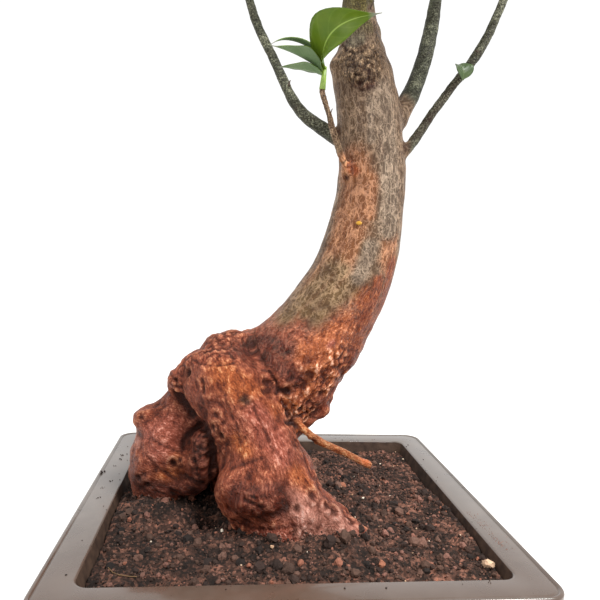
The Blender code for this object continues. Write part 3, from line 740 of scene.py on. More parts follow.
root_skin = 1 - ramp(z + 14 * MM * noise_over(fibres * (1, 1, 0.3), 16 * MM, seed=41), 0.180, 0.262)
young = np.maximum(ramp(trunk_distance, 0.0245, 0.029) * ramp(z, 0.29, 0.32), ramp(z, 0.404, 0.424))
# Old bark runs up onto the right branch's foot and the twig's, and up past the leader's right
# side, and the leader's own skin comes down its middle as a tongue. Each spot of old bark: its
# centre, and how far from there it starts to end and has ended, in metres
OLD_BARK = [
    ((0.068, 0.006, 0.362), 0.012, 0.02), ((0.031, -0.011, 0.320), 0.007, 0.011),
    ((0.050, -0.010, 0.425), 0.008, 0.013), ((0.052, -0.008, 0.412), 0.007, 0.011),
    ((0.067, -0.005, 0.330), 0.003, 0.006),
]
for centre, inner, outer in OLD_BARK:
    young *= ramp(away_from(centre), inner, outer)
young *= ramp(twig_distance, 0.004, 0.006)
tongue = seen_at(wood_tree, 355, 38)[0]
young = np.maximum(young, 0.5 - 0.5 * ramp(away_from(tongue), 0.006, 0.009))
stub = (stub_distance < 5 * MM) & (x > 0)
smooth_share = np.maximum(young, stub)

# Places told apart in the photograph where the skin is gnarled with small round lumps: pixel
# and radius in mm
GNARLED = [
    ((310, 405), 11), ((300, 385), 11), ((325, 385), 11), ((340, 360), 9), ((293, 422), 7), ((205, 440), 9),
    ((200, 458), 9), ((215, 428), 6), ((215, 350), 13), ((185, 360), 9), ((200, 342), 10), ((330, 508), 5),
    ((188, 348), 7), ((212, 337), 7), ((226, 334), 7), ((240, 336), 6), ((350, 520), 8), ((364, 70), 10),
    ((376, 52), 7), ((348, 60), 6), ((372, 62), 7), ((356, 76), 6), ((246, 401), 5), ((296, 440), 5),
    ((176, 384), 7), ((235, 530), 9), ((300, 535), 9), ((318, 478), 6),
]


def pimples(points, size):
    """Round lumps side by side, from 0 between them to 1 on top."""
    values = []
    for point in points:
        near, after = noise.voronoi(Vector(point) / size)[0][:2]
        values.append(min(1, (after - near) * 1.6))
    return np.array(values)


# How gnarled the skin is, from 0 to 1
gnarled = np.zeros(count)
for (u, v), radius in GNARLED:
    found = seen_at(wood_tree, u, v)
    if found:
        gnarled = np.maximum(gnarled, np.exp(-((away_from(found[0]) / (radius * MM)) ** 2)))
behind = ramp(normals @ np.array(ahead), 0.0, 0.3) * ramp(noise_over(places, 30 * MM, seed=31), 0.12, 0.4)
gnarled = np.maximum(gnarled, 0.8 * behind * (1 - ramp(z, 0.2, 0.24)))
# Relief over the whole surface, in millimetres
broad = noise_over(places, 13 * MM, seed=2)
middle = noise_over(places, 5 * MM, seed=5)
lumps = pimples(places, 4.6 * MM)
creased = noise_over(fibres * (1, 1, 0.3), 6.5 * MM, "ridged", seed=9)
fissures = noise_over(fibres * (1, 1, 0.14), 2.6 * MM, "ridged", seed=13)
relief = (
    root_skin * (1 - stub) * (broad * 1.3 + middle * 0.6 - (1 - creased) * 0.4)
    + gnarled * (1 - smooth_share) * ((lumps - 0.5) * 1.9 + middle * 0.9)
    + (1 - root_skin) * (1 - smooth_share) * (broad * 0.6 - (1 - fissures) * 0.3)
    + smooth_share * (broad * 0.2 + middle * 0.3)
)
# The thin wood gets back the girth that the smoothing took.
on_branch = ramp(trunk_distance, 0.024, 0.028) * ramp(z, 0.3, 0.32)
relief += 0.28 * on_branch + 0.45 * (1 - ramp(twig_distance, 0.004, 0.006)) + 0.3 * stub
# Painted shade: the skin is darkened between the lumps and down the creases and fissures.
dark = gnarled * (1 - lumps) ** 2 * 0.3 * (1 - smooth_share)
dark += root_skin * (1 - creased) ** 3 * 0.18 + (1 - root_skin) * (1 - fissures) ** 3 * 0.16
scar = np.zeros(count)

# Marks told apart in the photograph: pixel, radius in mm, how far the rim stands up, how deep
# the middle goes in, and how dark it is
MARKS = [
    ((188, 372), 3.4, 0.5, 2.8, 1.2), ((246, 401), 4.4, 1.0, 0.3, 0.55), ((267, 393), 4.6, 0.7, 0.6, 0.4),
    ((215, 415), 4.2, 0.9, 1.0, 0.5), ((293, 422), 4.5, 0.8, 1.6, 1.0), ((287, 414), 3.4, 0.9, 0.8, 0.7),
    ((312, 496), 4.4, 1.0, 0.6, 0.6), ((297, 509), 3.6, 0.9, 0.6, 0.65), ((287, 468), 2.4, 0.5, 0.3, 0.25),
    ((271, 468), 2.6, 0.5, 0.3, 0.3), ((334, 512), 4.4, 0.9, 0.7, 0.6), ((326, 506), 3.4, 0.8, 0.6, 0.5),
    ((173, 463), 3.4, 0.6, 2.2, 1.0), ((180, 460), 2.4, 0.3, 1.2, 0.8), ((138, 478), 3.4, 0.2, 2.4, 1.0),
    ((147, 485), 3.4, 0.2, 2.4, 1.0), ((141, 417), 2.8, 0.7, 0.8, 0.7), ((287, 391), 4.2, 0.3, 2.4, 0.9),
    ((301, 368), 4.4, 1.6, 0.3, 0.3), ((318, 400), 3.4, 2.0, 0.2, 0.3), ((300, 408), 3.2, 1.8, 0.4, 0.4),
    ((328, 411), 3.4, 1.8, 0.3, 0.4), ((308, 392), 2.6, 1.5, 0.2, 0.2), ((322, 388), 2.6, 1.5, 0.2, 0.2),
    ((331, 396), 2.6, 1.6, 0.2, 0.2), ((337, 384), 2.2, 1.4, 0.2, 0.2), ((345, 372), 2.0, 1.2, 0.2, 0.2),
    ((296, 398), 2.2, 0.9, 0.3, 0.4), ((312, 408), 2.4, 1.0, 0.4, 0.4), ((305, 418), 2.4, 1.0, 0.4, 0.5),
    ((348, 165), 2.0, 0.5, 1.2, 1.0), ((346, 178), 2.6, 0.6, 0.8, 1.0), ((376, 208), 2.8, 0.5, 0.3, 0.4),
    ((357, 60), 3.2, 0.9, 0.3, 0.1), ((372, 76), 4.0, 1.1, 0.3, 0.1), ((361, 82), 3.4, 1.0, 0.4, 0.2),
    ((379, 66), 3.4, 1.2, 0.3, 0.1), ((366, 66), 4.4, 1.2, 0.4, 0.2), ((352, 72), 3.0, 1.1, 0.3, 0.1),
    ((235, 349), 2.4, 0.8, 0.3, 0.4), ((205, 352), 2.6, 0.8, 0.4, 0.4), ((222, 345), 2.4, 0.8, 0.2, 0.3),
    ((176, 380), 2.4, 0.8, 0.6, 0.6), ((182, 352), 2.4, 0.9, 0.2, 0.3), ((196, 345), 2.4, 0.9, 0.2, 0.3),
    ((213, 338), 2.4, 0.9, 0.2, 0.3), ((213, 428), 3.2, 0.8, 1.0, 0.8), ((222, 436), 3.0, 0.8, 0.9, 0.8),
    ((205, 436), 3.0, 0.8, 1.0, 0.8), ((201, 448), 3.4, 0.9, 1.2, 0.8), ((195, 460), 3.4, 0.9, 1.0, 0.7),
    ((208, 455), 3.0, 0.9, 0.9, 0.7), ((190, 442), 2.8, 0.7, 1.0, 0.7), ((313, 440), 2.6, 0.9, 0.5, 0.6),
    ((318, 452), 2.6, 0.8, 0.4, 0.5), ((328, 487), 4.0, 1.2, 0.2, 0.2), ((240, 372), 1.4, 0.3, 0.3, 0.3),
    ((236, 390), 1.4, 0.3, 0.3, 0.3), ((360, 330), 1.6, 0.8, 0.0, 0.0), ((352, 345), 1.8, 0.8, 0.0, 0.0),
    ((357, 275), 1.6, 0.7, 0.0, 0.2), ((346, 288), 2.4, 0.6, 0.2, 0.2), ((372, 311), 1.8, 0.7, 0.0, 0.1),
    ((340, 352), 2.0, 0.8, 0.1, 0.1), ((296, 108), 2.0, 0.7, 0.0, 0.2), ((313, 118), 2.0, 0.7, 0.0, 0.2),
    ((296, 78), 1.8, 0.6, 0.0, 0.3), ((320, 92), 1.6, 0.6, 0.0, 0.3), ((331, 113), 1.8, 0.6, 0.0, 0.3),
    ((439, 26), 2.4, 0.7, 0.0, 0.3), ((478, 52), 2.2, 0.8, 0.0, 0.4), ((463, 80), 2.0, 0.6, 0.0, 0.4),
    ((310, 432), 2.0, 0.6, 0.0, 0.2), ((320, 440), 2.0, 1.3, 0.0, 0.1), ((340, 450), 1.8, 0.8, 0.0, 0.2),
    ((368, 463), 2.4, 1.1, 0.0, 0.0), ((430, 120), 2.2, 0.6, 0.2, 0.3),
]
# Creases: pixels along the crease, half width and depth in mm, and how dark it is
# The darkness down a sunk crease, as in the pit below the lobe, is painted shade; along the twig and the thin
# branch, rows that don't sink darken the skin's own colour.
CREASES = [
    ([(244, 336), (246, 344), (248, 352)], 4.0, -2.4, 0.0), ([(247, 342), (249, 358)], 0.8, 0.6, 0.3),
    ([(253, 358), (259, 367), (265, 377)], 4.0, -1.8, 0.0),
    ([(263, 371), (270, 372), (275, 380), (277, 389), (276, 395)], 0.9, 1.4, 0.7),
    ([(278, 390), (284, 391), (290, 394)], 2.2, 2.2, 1.0),
    ([(282, 402), (286, 409), (288, 418)], 1.6, 1.2, 0.6),
    ([(287, 422), (293, 424), (297, 428)], 2.4, 1.6, 0.9),
    ([(176, 394), (183, 400), (190, 408), (197, 416), (203, 425)], 3.4, 4.5, 1.0),
    ([(201, 424), (192, 431), (184, 440), (182, 450)], 1.8, 1.8, 0.9),
    ([(203, 426), (211, 440), (213, 452), (212, 466), (211, 480)], 2.2, 2.4, 0.9),
    ([(184, 476), (194, 482), (204, 484)], 1.8, 1.6, 0.8),
    ([(201, 379), (202, 386), (203, 394)], 1.2, 1.3, 0.9),
    ([(264, 382), (270, 381), (274, 388)], 0.9, 0.8, 0.6),
    ([(231, 468), (240, 466), (250, 461), (262, 458)], 1.8, 1.0, 0.35),
    ([(228, 508), (240, 515), (256, 518), (274, 516), (288, 508)], 2.6, 0.7, 0.25),
    ([(244, 500), (251, 503), (258, 505), (263, 509)], 1.2, 1.1, 0.8),
    ([(250, 495), (256, 499), (260, 497)], 0.8, 0.9, 0.5),
    ([(238, 491), (247, 493), (256, 496)], 0.8, -0.8, 0.0),
    ([(252, 488), (257, 495), (262, 500)], 0.7, -0.7, 0.0),
    ([(190, 356), (202, 351), (216, 350), (230, 354), (236, 359)], 1.0, 0.7, 0.4),
    ([(190, 358), (200, 364), (214, 366), (228, 365), (236, 361)], 1.0, 0.7, 0.4),
    ([(378, 239), (390, 240), (401, 240)], 0.9, 0.5, 0.0),
    ([(340, 42), (346, 50), (356, 53), (365, 49), (369, 42)], 1.0, 1.0, 0.45),
    ([(346, 42), (354, 46), (362, 43)], 0.8, 0.6, 0.3), ([(352, 86), (362, 90), (374, 86)], 1.0, 0.7, 0.5),
    ([(152, 440), (166, 447), (180, 452)], 1.0, 0.5, 0.4),
    ([(146, 455), (160, 470), (176, 480)], 1.2, 0.7, 0.5),
    ([(232, 520), (250, 528), (272, 530), (296, 526)], 1.5, 0.6, 0.4),
    ([(300, 445), (306, 462), (313, 478), (322, 490)], 1.3, 0.7, 0.4),
    ([(224, 395), (230, 412), (238, 430), (240, 448)], 1.2, 0.5, 0.3),
    ([(253, 408), (262, 425), (272, 445), (282, 460)], 1.2, 0.45, 0.3),
    ([(402, 154), (421, 131), (445, 97), (470, 65)], 4.0, 0.0, 0.5),
    ([(370, -40), (372, -15), (374, 6)], 7.0, 3.0, 0.0), ([(337, 90), (352, 88), (372, 86)], 7.0, 0.0, 0.4),
    ([(354, 64), (362, 72), (370, 74)], 6.0, 0.4, 0.45),
    ([(322, 90), (326, 112), (334, 132), (341, 152)], 4.0, 0.0, 0.55),
    ([(193, 492), (204, 498), (212, 500)], 6.0, 2.0, 0.8),
    ([(310, 431), (320, 439), (338, 450), (360, 460)], 3.5, 0.0, 0.3),
]


def pixel_row(corners, surface):
    """Points of a surface under a row of pixels, a step of 1.5 pixels apart."""
    row = []
    for (u0, v0), (u1, v1) in zip(corners, corners[1:]):
        steps = max(2, int(math.hypot(u1 - u0, v1 - v0) / 1.5))
        for k in range(steps):
            found = seen_at(surface, u0 + (u1 - u0) * k / steps, v0 + (v1 - v0) * k / steps)
            if found:
                row.append(found[0])
    return row


def close_to(points, reach):
    """How near each vertex is to a row of points, from 0 to 1 on it."""
    if not points:
        return np.zeros(count)
    tree = KDTree(len(points))
    for i, point in enumerate(points):
        tree.insert(point, i)
    tree.balance()
    share_of = np.zeros(count)
    middle_point = sum(points, Vector()) / len(points)
    spread_of = max((point - middle_point).length for point in points) + 3 * reach
    for i in np.flatnonzero(away_from(middle_point) < spread_of):
        share_of[i] = math.exp(-((tree.find(places[i])[2] / reach) ** 2))
    return share_of


def mark_surface(centre, radius, rim_height, depth, darkness):
    """Adds a knot, a raised rim round a sunk middle, to the relief, dark and scar arrays. The middle's
    darkening is painted shade in the pit.
    """
    distance = away_from(centre) / (radius * MM) * (1 + 0.25 * middle)
    near = distance < 3
    inner = np.exp(-((distance[near] / 0.6) ** 2))
    rim_share = np.exp(-(((distance[near] - 1.05) / 0.42) ** 2))
    # A mark that hardly sinks is a round bump.
    if depth <= 0.3:
        rim_share = np.exp(-((distance[near] / 0.85) ** 2))
    relief[near] += rim_share * rim_height - inner * depth
    dark[near] += inner * darkness
    scar[near] += rim_share * darkness * 0.6


for (u, v), radius, rim_height, depth, darkness in MARKS:
    found = seen_at(wood_tree, u, v)
    if found:
        mark_surface(found[0], radius, rim_height, depth, darkness)
for corners, width, depth, darkness in CREASES:
    share_of = close_to(pixel_row(corners, wood_tree), width * MM)
    relief -= share_of * depth
    dark += share_of**2 * darkness

# The side that the photograph doesn't show has knots of the same kinds.
rng = random.Random(23)
faces_away = normals @ np.array(ahead) > 0.15
# On the root base and then on the trunk: where they may lie, how many, and the ranges of radius,
# rim, depth and darkness
for band, knots, radii, rims, depths, darkness_range in (
    ((z > 0.09) & (z < 0.215) & ~stub, 26, (2.2, 4.6), (0.5, 1.2), (0.2, 0.8, 1.6), (0.2, 0.9)),
    ((z > 0.22) & (z < 0.4) & (young < 0.2), 10, (1.6, 3.0), (0.4, 0.8), (0.2, 0.8), (0.2, 0.8)),
):
    spots = np.flatnonzero(faces_away & band)
    for i in rng.sample(sorted(spots.tolist()), knots):
        radius, rim_height = rng.uniform(*radii), rng.uniform(*rims)
        mark_surface(places[i], radius, rim_height, rng.choice(depths), rng.uniform(*darkness_range))

RELIEF_LIMITS = (-4, 3)
places = places + normals * np.clip(relief, *RELIEF_LIMITS)[:, None] * MM
wood.data.vertices.foreach_set("co", places.ravel())
wood.data.update()

# Where the skin is hollow or crested, from how far it lies under or over its smoothed self: the hollows get
# painted shade and the crests painted light.
edge_ends = np.empty(len(wood.data.edges) * 2, dtype=np.int32)
wood.data.edges.foreach_get("vertices", edge_ends)
one_end, other_end = edge_ends.reshape(-1, 2).T
degree = np.bincount(edge_ends, minlength=count)


def evened(values, rounds):
    """Values at the vertices, each replaced by its neighbours' mean a number of times."""
    for _ in range(rounds):
        total = [
            np.bincount(one_end, column[other_end], count) + np.bincount(other_end, column[one_end], count)
            for column in values.T
        ]
        values = np.column_stack(total) / degree[:, None]
    return values


skin_normals = vertex_vectors(wood.data.vertex_normals, "vector")
fine_sink, broad_sink = (
    np.sum((evened(places, rounds) - places) * skin_normals, axis=1) / MM for rounds in (4, 45)
)
sunk_share = ramp(fine_sink, 0.0, 0.45) * 0.5 + ramp(broad_sink, -0.3, 1.6) * 0.6
crest = np.clip(0.5 + 0.5 * ramp(-fine_sink, 0.02, 0.4) - 0.5 * ramp(fine_sink, -0.02, 0.35), 0, 1)

# Stretches of skin whose colour can be told apart in the photograph: pixels along each and its
# half width in mm
STRETCHES = {
    # The thin pale stretch down the trunk's left edge is a painted rim light, and the wide one down its right
    # edge is pale bark with a painted sheen.
    "pale": [
        ([(382, 88), (386, 120), (389, 150), (391, 190), (389, 231)], 9),
        ([(371, 246), (366, 262), (358, 280)], 6), ([(336, 200), (320, 233), (298, 272), (268, 311)], 3.5),
        ([(371, 100), (372, 140)], 4), ([(392, 330), (386, 344)], 2), ([(350, 40), (362, 38)], 5),
        ([(326, 530), (345, 534)], 2),
    ],
    "tan": [
        ([(352, 166), (358, 184), (352, 207), (345, 240), (334, 268), (318, 284)], 15),
        ([(372, 180), (368, 215)], 6), ([(434, 100), (426, 116)], 6), ([(391, 244), (388, 262)], 9),
    ],
    "rust": [
        ([(392, 266), (387, 292), (376, 326)], 7), ([(391, 272), (386, 292), (376, 320), (361, 345)], 8),
        ([(362, 296), (368, 308), (362, 335)], 10), ([(378, 282), (376, 296), (370, 312)], 6),
        ([(355, 276), (358, 279)], 2), ([(372, 340), (352, 362), (336, 392)], 8),
        ([(345, 332), (330, 350)], 15),
    ],
    "orange": [
        ([(222, 374), (236, 384), (252, 396)], 12), ([(296, 472), (304, 486)], 8),
        ([(262, 404), (276, 414)], 6), ([(160, 482), (176, 474)], 8), ([(168, 446), (176, 456)], 5),
        ([(236, 440), (246, 452)], 6), ([(348, 164), (356, 172)], 4),
    ],
    "gold": [
        ([(340, 336), (326, 360), (306, 388)], 12), ([(285, 402), (308, 416)], 6),
        ([(318, 345), (300, 352)], 8), ([(336, 372), (326, 392)], 6), ([(364, 461), (369, 464)], 3),
    ],
    "crumbly": [
        ([(344, 56), (358, 58), (376, 56)], 8), ([(350, 72), (362, 76), (374, 72)], 7),
        ([(376, 28), (380, 44)], 5), ([(324, 92), (328, 112), (334, 132), (340, 148)], 4),
    ],
    "olive": [
        ([(332, 268), (312, 290), (286, 316)], 11), ([(352, 284), (332, 300), (314, 318)], 9),
        ([(342, 270), (328, 290), (304, 314)], 7), ([(350, 62), (374, 60)], 9),
        ([(366, 246), (362, 270)], 4), ([(244, 400), (250, 403)], 3),
    ],
    # The pink stretches on the tops of the left lobe and the front root are pinkish skin with painted light
    # where those tops face the lamps.
    "pink": [
        ([(150, 432), (170, 424), (176, 440), (156, 452)], 10), ([(256, 412), (270, 432), (284, 454)], 11),
        ([(300, 516), (322, 524), (346, 533)], 11), ([(258, 534), (290, 536)], 6),
        ([(384, 140), (388, 170)], 3), ([(330, 345), (334, 342)], 3),
    ],
    # The shade stretches are painted shade: under the eye bulge and the lobe, in the crevice and pit beside
    # the front root, and along the trunk's right edge.
    "shade": [
        ([(236, 504), (258, 512), (284, 504)], 9), ([(236, 490), (256, 494), (280, 490)], 7),
        ([(136, 482), (160, 490), (190, 490)], 9), ([(186, 404), (196, 420), (190, 436)], 6),
        ([(204, 440), (210, 470), (206, 492)], 8), ([(200, 432), (202, 450), (202, 476)], 11),
        ([(238, 352), (262, 340), (290, 350)], 7), ([(260, 350), (284, 372), (300, 380)], 6),
        ([(356, 80), (372, 82)], 4), ([(356, 352), (344, 388), (330, 410)], 3),
        ([(390, 300), (382, 326), (370, 346)], 4.5), ([(200, 400), (206, 424)], 4),
    ],
    "dusty": [
        ([(296, 506), (322, 521), (350, 534)], 12), ([(300, 532), (340, 536)], 6),
        ([(136, 430), (138, 445)], 4),
    ],
}

skin_tree = tree_of(wood)
stretches_of = {}
for name, stretches in STRETCHES.items():
    share_of = np.zeros(count)
    for corners, width in stretches:
        share_of = np.maximum(share_of, close_to(pixel_row(corners, skin_tree), width * MM))
    stretches_of[name] = share_of
# The side that isn't seen has patches of the same kinds, by a slow noise.
unseen = ramp(skin_normals @ np.array(ahead), -0.25, 0.15) * (1 - smooth_share)
for name, seed in (("tan", 51), ("rust", 57), ("olive", 63), ("pink", 69), ("pale", 75)):
    slow = ramp(noise_over(fibres * (1, 1, 0.45), 19 * MM, seed=seed), 0.02, 0.35)
    low_only = root_skin if name == "pink" else (1 - root_skin) if name in ("olive", "pale") else 1
    stretches_of[name] = np.maximum(stretches_of[name], 0.85 * slow * unseen * low_only)
ground = np.array([soil_height(px, py) for px, py in places[:, :2]])
earthy = 1 - ramp(places[:, 2] - ground + 2.5 * MM * middle, -0.002, 0.003)
leader = young * (1 - ramp(trunk_distance, 0.019, 0.023)) * ramp(z, 0.40, 0.42)
skin_values = {
    "root_skin": root_skin, "young": young, "leader": leader, "stub": stub.astype(float),
    "dark": np.clip(dark, 0, 1), "scar": np.clip(scar, 0, 1), "earthy": earthy,
    "hollow": np.clip(sunk_share, 0, 1), "crest": crest, **stretches_of,
}
for name, values in skin_values.items():
    attribute = wood.data.attributes.new(name, "FLOAT", "POINT")
    attribute.data.foreach_set("value", values.astype(np.float32))
attribute = wood.data.attributes.new("fibres", "FLOAT_VECTOR", "POINT")
attribute.data.foreach_set("vector", fibres.astype(np.float32).ravel())

# Wet crumbs cling to the roots where they enter the soil.
CLINGING_COUNT = 1300
rng = random.Random(67)
above_soil = places[:, 2] - ground
clinging = np.flatnonzero((above_soil > -1.5 * MM) & (above_soil < 5 * MM) & (root_skin > 0.5))
placings = []
for i in rng.sample(clinging.tolist(), min(CLINGING_COUNT, len(clinging))):
    if rng.random() > above_soil[i] / (5 * MM):
        place = Vector(places[i] + normals[i] * 0.3 * MM)
        placings.append(
            (place, rng.uniform(0.8, 2.6) * MM, random_turn(rng), 0.2 + rng.random() ** 1.8 * 0.66)
        )
root_crumbs = scatter("root_crumbs", lumps_like(13, 7, 1), placings, grit)
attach(root_crumbs, "root")

# Living bark: thin, damp and a little glossy on the root base, drier and crackled above, with
# olive skin on the young wood. Its fine wrinkles and pale cracks run along the fibres.
bark = new_material("living bark", "#6b4636", 0.45, {"IOR": 1.45, "Specular IOR Level": 0.24})
place = add_node(bark, "TexCoord", output="Object")
fibre = add_node(bark, "Attribute", output="Vector", attribute_name="fibres")
read = {name: add_node(bark, "Attribute", output="Fac", attribute_name=name) for name in skin_values}


def drawn_noise(share_along, millimetres, roughness, distortion=0.0):
    """Noise stretched along the fibres."""
    drawn = add_node(bark, "Mapping", {"Vector": fibre, "Scale": (1, 1, share_along)})
    settings = {"Detail": 6, "Roughness": roughness, "Distortion": distortion}
    return add_node(bark, "TexNoise", {"Vector": drawn, "Scale": per_metre(millimetres), **settings})


def sum_of(base, *terms):
    """A number plus each output times its weight, taken round the output's middle value of 0.5."""
    total = base - sum(0.5 * weight for _, weight in terms)
    for output, weight in terms:
        total = add_node(bark, "Math", (output, weight, total), operation="MULTIPLY_ADD")
    return total


def product_of(first, *factors):
    """An output times each of the other outputs or numbers."""
    for factor in factors:
        first = add_node(bark, "Math", (first, factor), operation="MULTIPLY")
    return first


fuzz = drawn_noise(0.36, 1.05, 0.74)
wrinkle = drawn_noise(0.3, 2.6, 0.6, 0.3)
streak = drawn_noise(0.22, 1.9, 0.6, 0.8)
soft = add_node(bark, "TexNoise", {"Vector": place, "Scale": per_metre(9), "Detail": 5, "Roughness": 0.6})
fleck = add_node(bark, "TexNoise", {"Vector": place, "Scale": per_metre(1.0), "Detail": 3, "Roughness": 0.6})

# The dry bark's outer film has split into a net of thin pale cracks, drawn out along the trunk.
# It is drawn coarser than the real net, with cells 2.6 and 4.2 mm wide.
bending = {"Vector": fibre, "Scale": per_metre(4.0), "Detail": 3, "Roughness": 0.5}
warp = add_node(bark, "TexNoise", bending, "Color")
warp = add_node(bark, "VectorMath", (warp, (0.5, 0.5, 0.5)), operation="SUBTRACT")
warp = add_node(bark, "VectorMath", {0: warp, 3: 6 * MM}, operation="SCALE")
bent = add_node(bark, "VectorMath", (fibre, warp), operation="ADD")


def crack_net(share_along, millimetres, width):
    """1 on the edges of cells stretched along the fibres, 0 inside them."""
    drawn = add_node(bark, "Mapping", {"Vector": bent, "Scale": (1, 1, share_along)})
    cells = {"Vector": drawn, "Scale": per_metre(millimetres)}
    edge = add_node(bark, "TexVoronoi", cells, "Distance", feature="DISTANCE_TO_EDGE")
    return add_node(bark, "MapRange", (edge, width * 0.35, width, 1, 0))


nets = (crack_net(0.22, 4.2, 0.11), product_of(crack_net(0.4, 2.6, 0.1), 0.75))
cracks = product_of(
    add_node(bark, "Math", nets, operation="MAXIMUM"), add_node(bark, "MapRange", (soft, 0.3, 0.45)),
    add_node(bark, "MapRange", (fleck, 0.32, 0.46, 0.2, 1)),
)

# How light each spot is, from 0 to 1: the root base by its fuzz, the trunk by its streaks, and every tone
# lighter on the crests, as painted light
crest_of = read["crest"]
root_tone = sum_of(0.47, (fuzz, 2.4), (wrinkle, 0.6), (soft, 0.5), (crest_of, 0.6))
trunk_tone = sum_of(0.36, (streak, 0.6), (soft, 0.9), (fuzz, 0.4), (crest_of, 0.35))
# The gold patch's tone spreads wide, so its lightest colours show as painted glints.
glint_tone = sum_of(0.45, (fuzz, 1.8), (wrinkle, 1.2), (soft, 0.6), (crest_of, 0.6))
rough_tone = sum_of(0.42, (fuzz, 1.0), (fleck, 1.8), (wrinkle, 0.8), (crest_of, 0.7))
young_tone = sum_of(0.4, (soft, 1.0), (wrinkle, 0.8), (fleck, 2.2), (fuzz, 0.8), (crest_of, 0.3))
TONE_STEPS = (0.08, 0.3, 0.5, 0.7, 0.95)
TRUNK = "#3a2617 #4d3825 #5b4633 #6c5744 #8c7763"
ORANGE = "#541a04 #70300d #863f19 #a0562c #c68c60"
# The kinds of bark laid over the trunk's own, in order: the attribute with its share, how light
# it is, its colours from dark to light, and between which shares its frayed edge lies, if any
BARKS = [
    ("root_skin", root_tone, "#441000 #5e2612 #743622 #8b4931 #b87857", (0.1, 0.9)),
    ("tan", trunk_tone, "#52290f #683c1f #784a2a #8a5c3a #ad815e", (0.1, 0.8)),
    ("rust", root_tone, "#3a1000 #521c03 #682a0b #823f1b #b97f54", (0.1, 0.85)),
    ("orange", root_tone, ORANGE, (0.1, 1.0)),
    # The gold patch is golden-orange skin with painted glints in its lightest colour.
    ("gold", glint_tone, "#541b02 #703214 #8d4826 #b2683f #f4bb9c", (0.1, 0.85)),
    ("olive", trunk_tone, "#382511 #4e371d #5e4629 #735a3e #9b8468", (0.05, 1.05)),
    ("pink", root_tone, "#521a0e #6e3222 #84402f #9b5744 #c68a78", (0.1, 1.0)),
    ("pale", trunk_tone, "#443427 #554537 #635344 #756555 #9c8d80", (0.1, 0.85)),
    ("dusty", root_tone, "#7f4d3e #946050 #a67060 #b8816f #c6988a", (0.05, 1.3)),
    # The shade layer is painted shade, not a kind of bark.
    ("shade", root_tone, "#200500 #380e00 #4a1a0c #60291a #87503c", (0.1, 0.9)),
    ("crumbly", rough_tone, "#27190d #3b2917 #4e3924 #634a33 #967c5f", (0.1, 0.7)),
    ("young", young_tone, "#191a0f #29291c #38382a #4d4e3f #7c7b65", ()),
    ("leader", young_tone, "#2a2309 #423815 #574c24 #6e6338 #968b60", ()),
    ("stub", root_tone, ORANGE, ()),
]


def patch_share(share_output, low, high):
    """A patch whose edge is softly broken up by the slow noise and the fuzz."""
    frayed = sum_of(0, (share_output, 1), (soft, 0.5), (fuzz, 0.5))
    return add_node(bark, "MapRange", (frayed, low - 0.5, high - 0.5), interpolation_type="SMOOTHSTEP")


colour = add_node(bark, "ValToRGB", (trunk_tone,), stops=list(zip(TONE_STEPS, TRUNK.split())))
for name, tone, hexes, edge in BARKS:
    share_of = patch_share(read[name], *edge) if edge else read[name]
    over = add_node(bark, "ValToRGB", (tone,), stops=list(zip(TONE_STEPS, hexes.split())))
    colour = add_node(bark, "Mix", {0: share_of, 6: colour, 7: over}, 2, data_type="RGBA")
# Where the gold patch lies on the root stub, the skin is a plain orange.
gold_stub = product_of(read["stub"], read["gold"])
colour = add_node(bark, "Mix", {0: gold_stub, 6: colour, 7: linear("#b4623a")}, 2, data_type="RGBA")
# Over these lie the pale cracks, where the bark is old and dry, then painted shade in the hollows, scars, the
# dark marks and soil. The dark marks are painted shade in pits, creases and between lumps, and the darker
# skin of the twig and thin branch.
on_dry_bark = product_of(
    add_node(bark, "Math", (1.0, read["young"]), operation="SUBTRACT"),
    add_node(bark, "MapRange", (read["root_skin"], 0.3, 1.0, 1, 0.1)),
    add_node(bark, "MapRange", (read["rust"], 0.1, 0.8, 1, 0.4)),
)
lightened = add_node(bark, "VectorMath", {0: colour, 3: 1.9}, operation="SCALE")
lifted = add_node(bark, "VectorMath", (lightened, (0.125, 0.1, 0.075)), operation="ADD")
for share_of, over in (
    (product_of(cracks, on_dry_bark), lifted), (product_of(read["hollow"], 0.6), linear("#2e0f06")),
    (product_of(read["scar"], 0.5), linear("#402112")), (product_of(read["dark"], 0.9), linear("#2a0d05")),
    (patch_share(read["earthy"], 0.5, 1.2), linear("#4f382e")),
):
    colour = add_node(bark, "Mix", {0: share_of, 6: colour, 7: over}, 2, data_type="RGBA")
gloss = product_of(
    add_node(bark, "MapRange", (fleck, 0.35, 0.65, 0.3, 0.6)),
    add_node(bark, "MapRange", (read["gold"], 0.2, 0.8, 1, 0.45)),
)
crumbling = product_of(rough_tone, read["crumbly"])
heights = sum_of(0, (fuzz, 1.0), (wrinkle, 1.3), (cracks, 0.5), (crumbling, 1.2))
wrinkled = add_node(bark, "Bump", {"Height": heights, "Strength": 1.0, "Distance": 1.1 * MM})
link(bark, {"Base Color": colour, "Roughness": gloss, "Normal": wrinkled})
wood.data.materials.clear()
wood.data.materials.append(bark)
wood.data.shade_smooth()
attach(wood, "root")
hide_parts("wood")

# Dead stubs of shed leaves stand on the branches: pixel of the foot, how far the tip lies from it
# in mm to the right and up, and the foot's radius in mm.
SPURS = [
    ((288, 86), (1.6, 4.4), 0.8), ((440, 28), (2.2, 1.2), 0.9), ((370, 10), (3.4, 6.6), 0.5),
    ((331, 113), (1.2, 3.4), 0.4), ((478, 52), (-1.4, 1.2), 0.8),
]
SPUR_SUNK, SPUR_TIP = 0.6 * MM, 0.3 * MM
dead_wood = new_material("dead stub", "#3d2c20", 0.8)
shape = bmesh.new()
for (u, v), (over, above), radius in SPURS:
    found = seen_at(skin_tree, u, v)
    if found:
        foot = found[0] - found[1] * SPUR_SUNK
        add_rod(shape, foot, foot + (right * over + up * above) * MM, radius * MM, SPUR_TIP, 10)
spurs = new_piece("leaf_spurs", shape, dead_wood)
spurs.data.shade_smooth()
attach(spurs, "root")

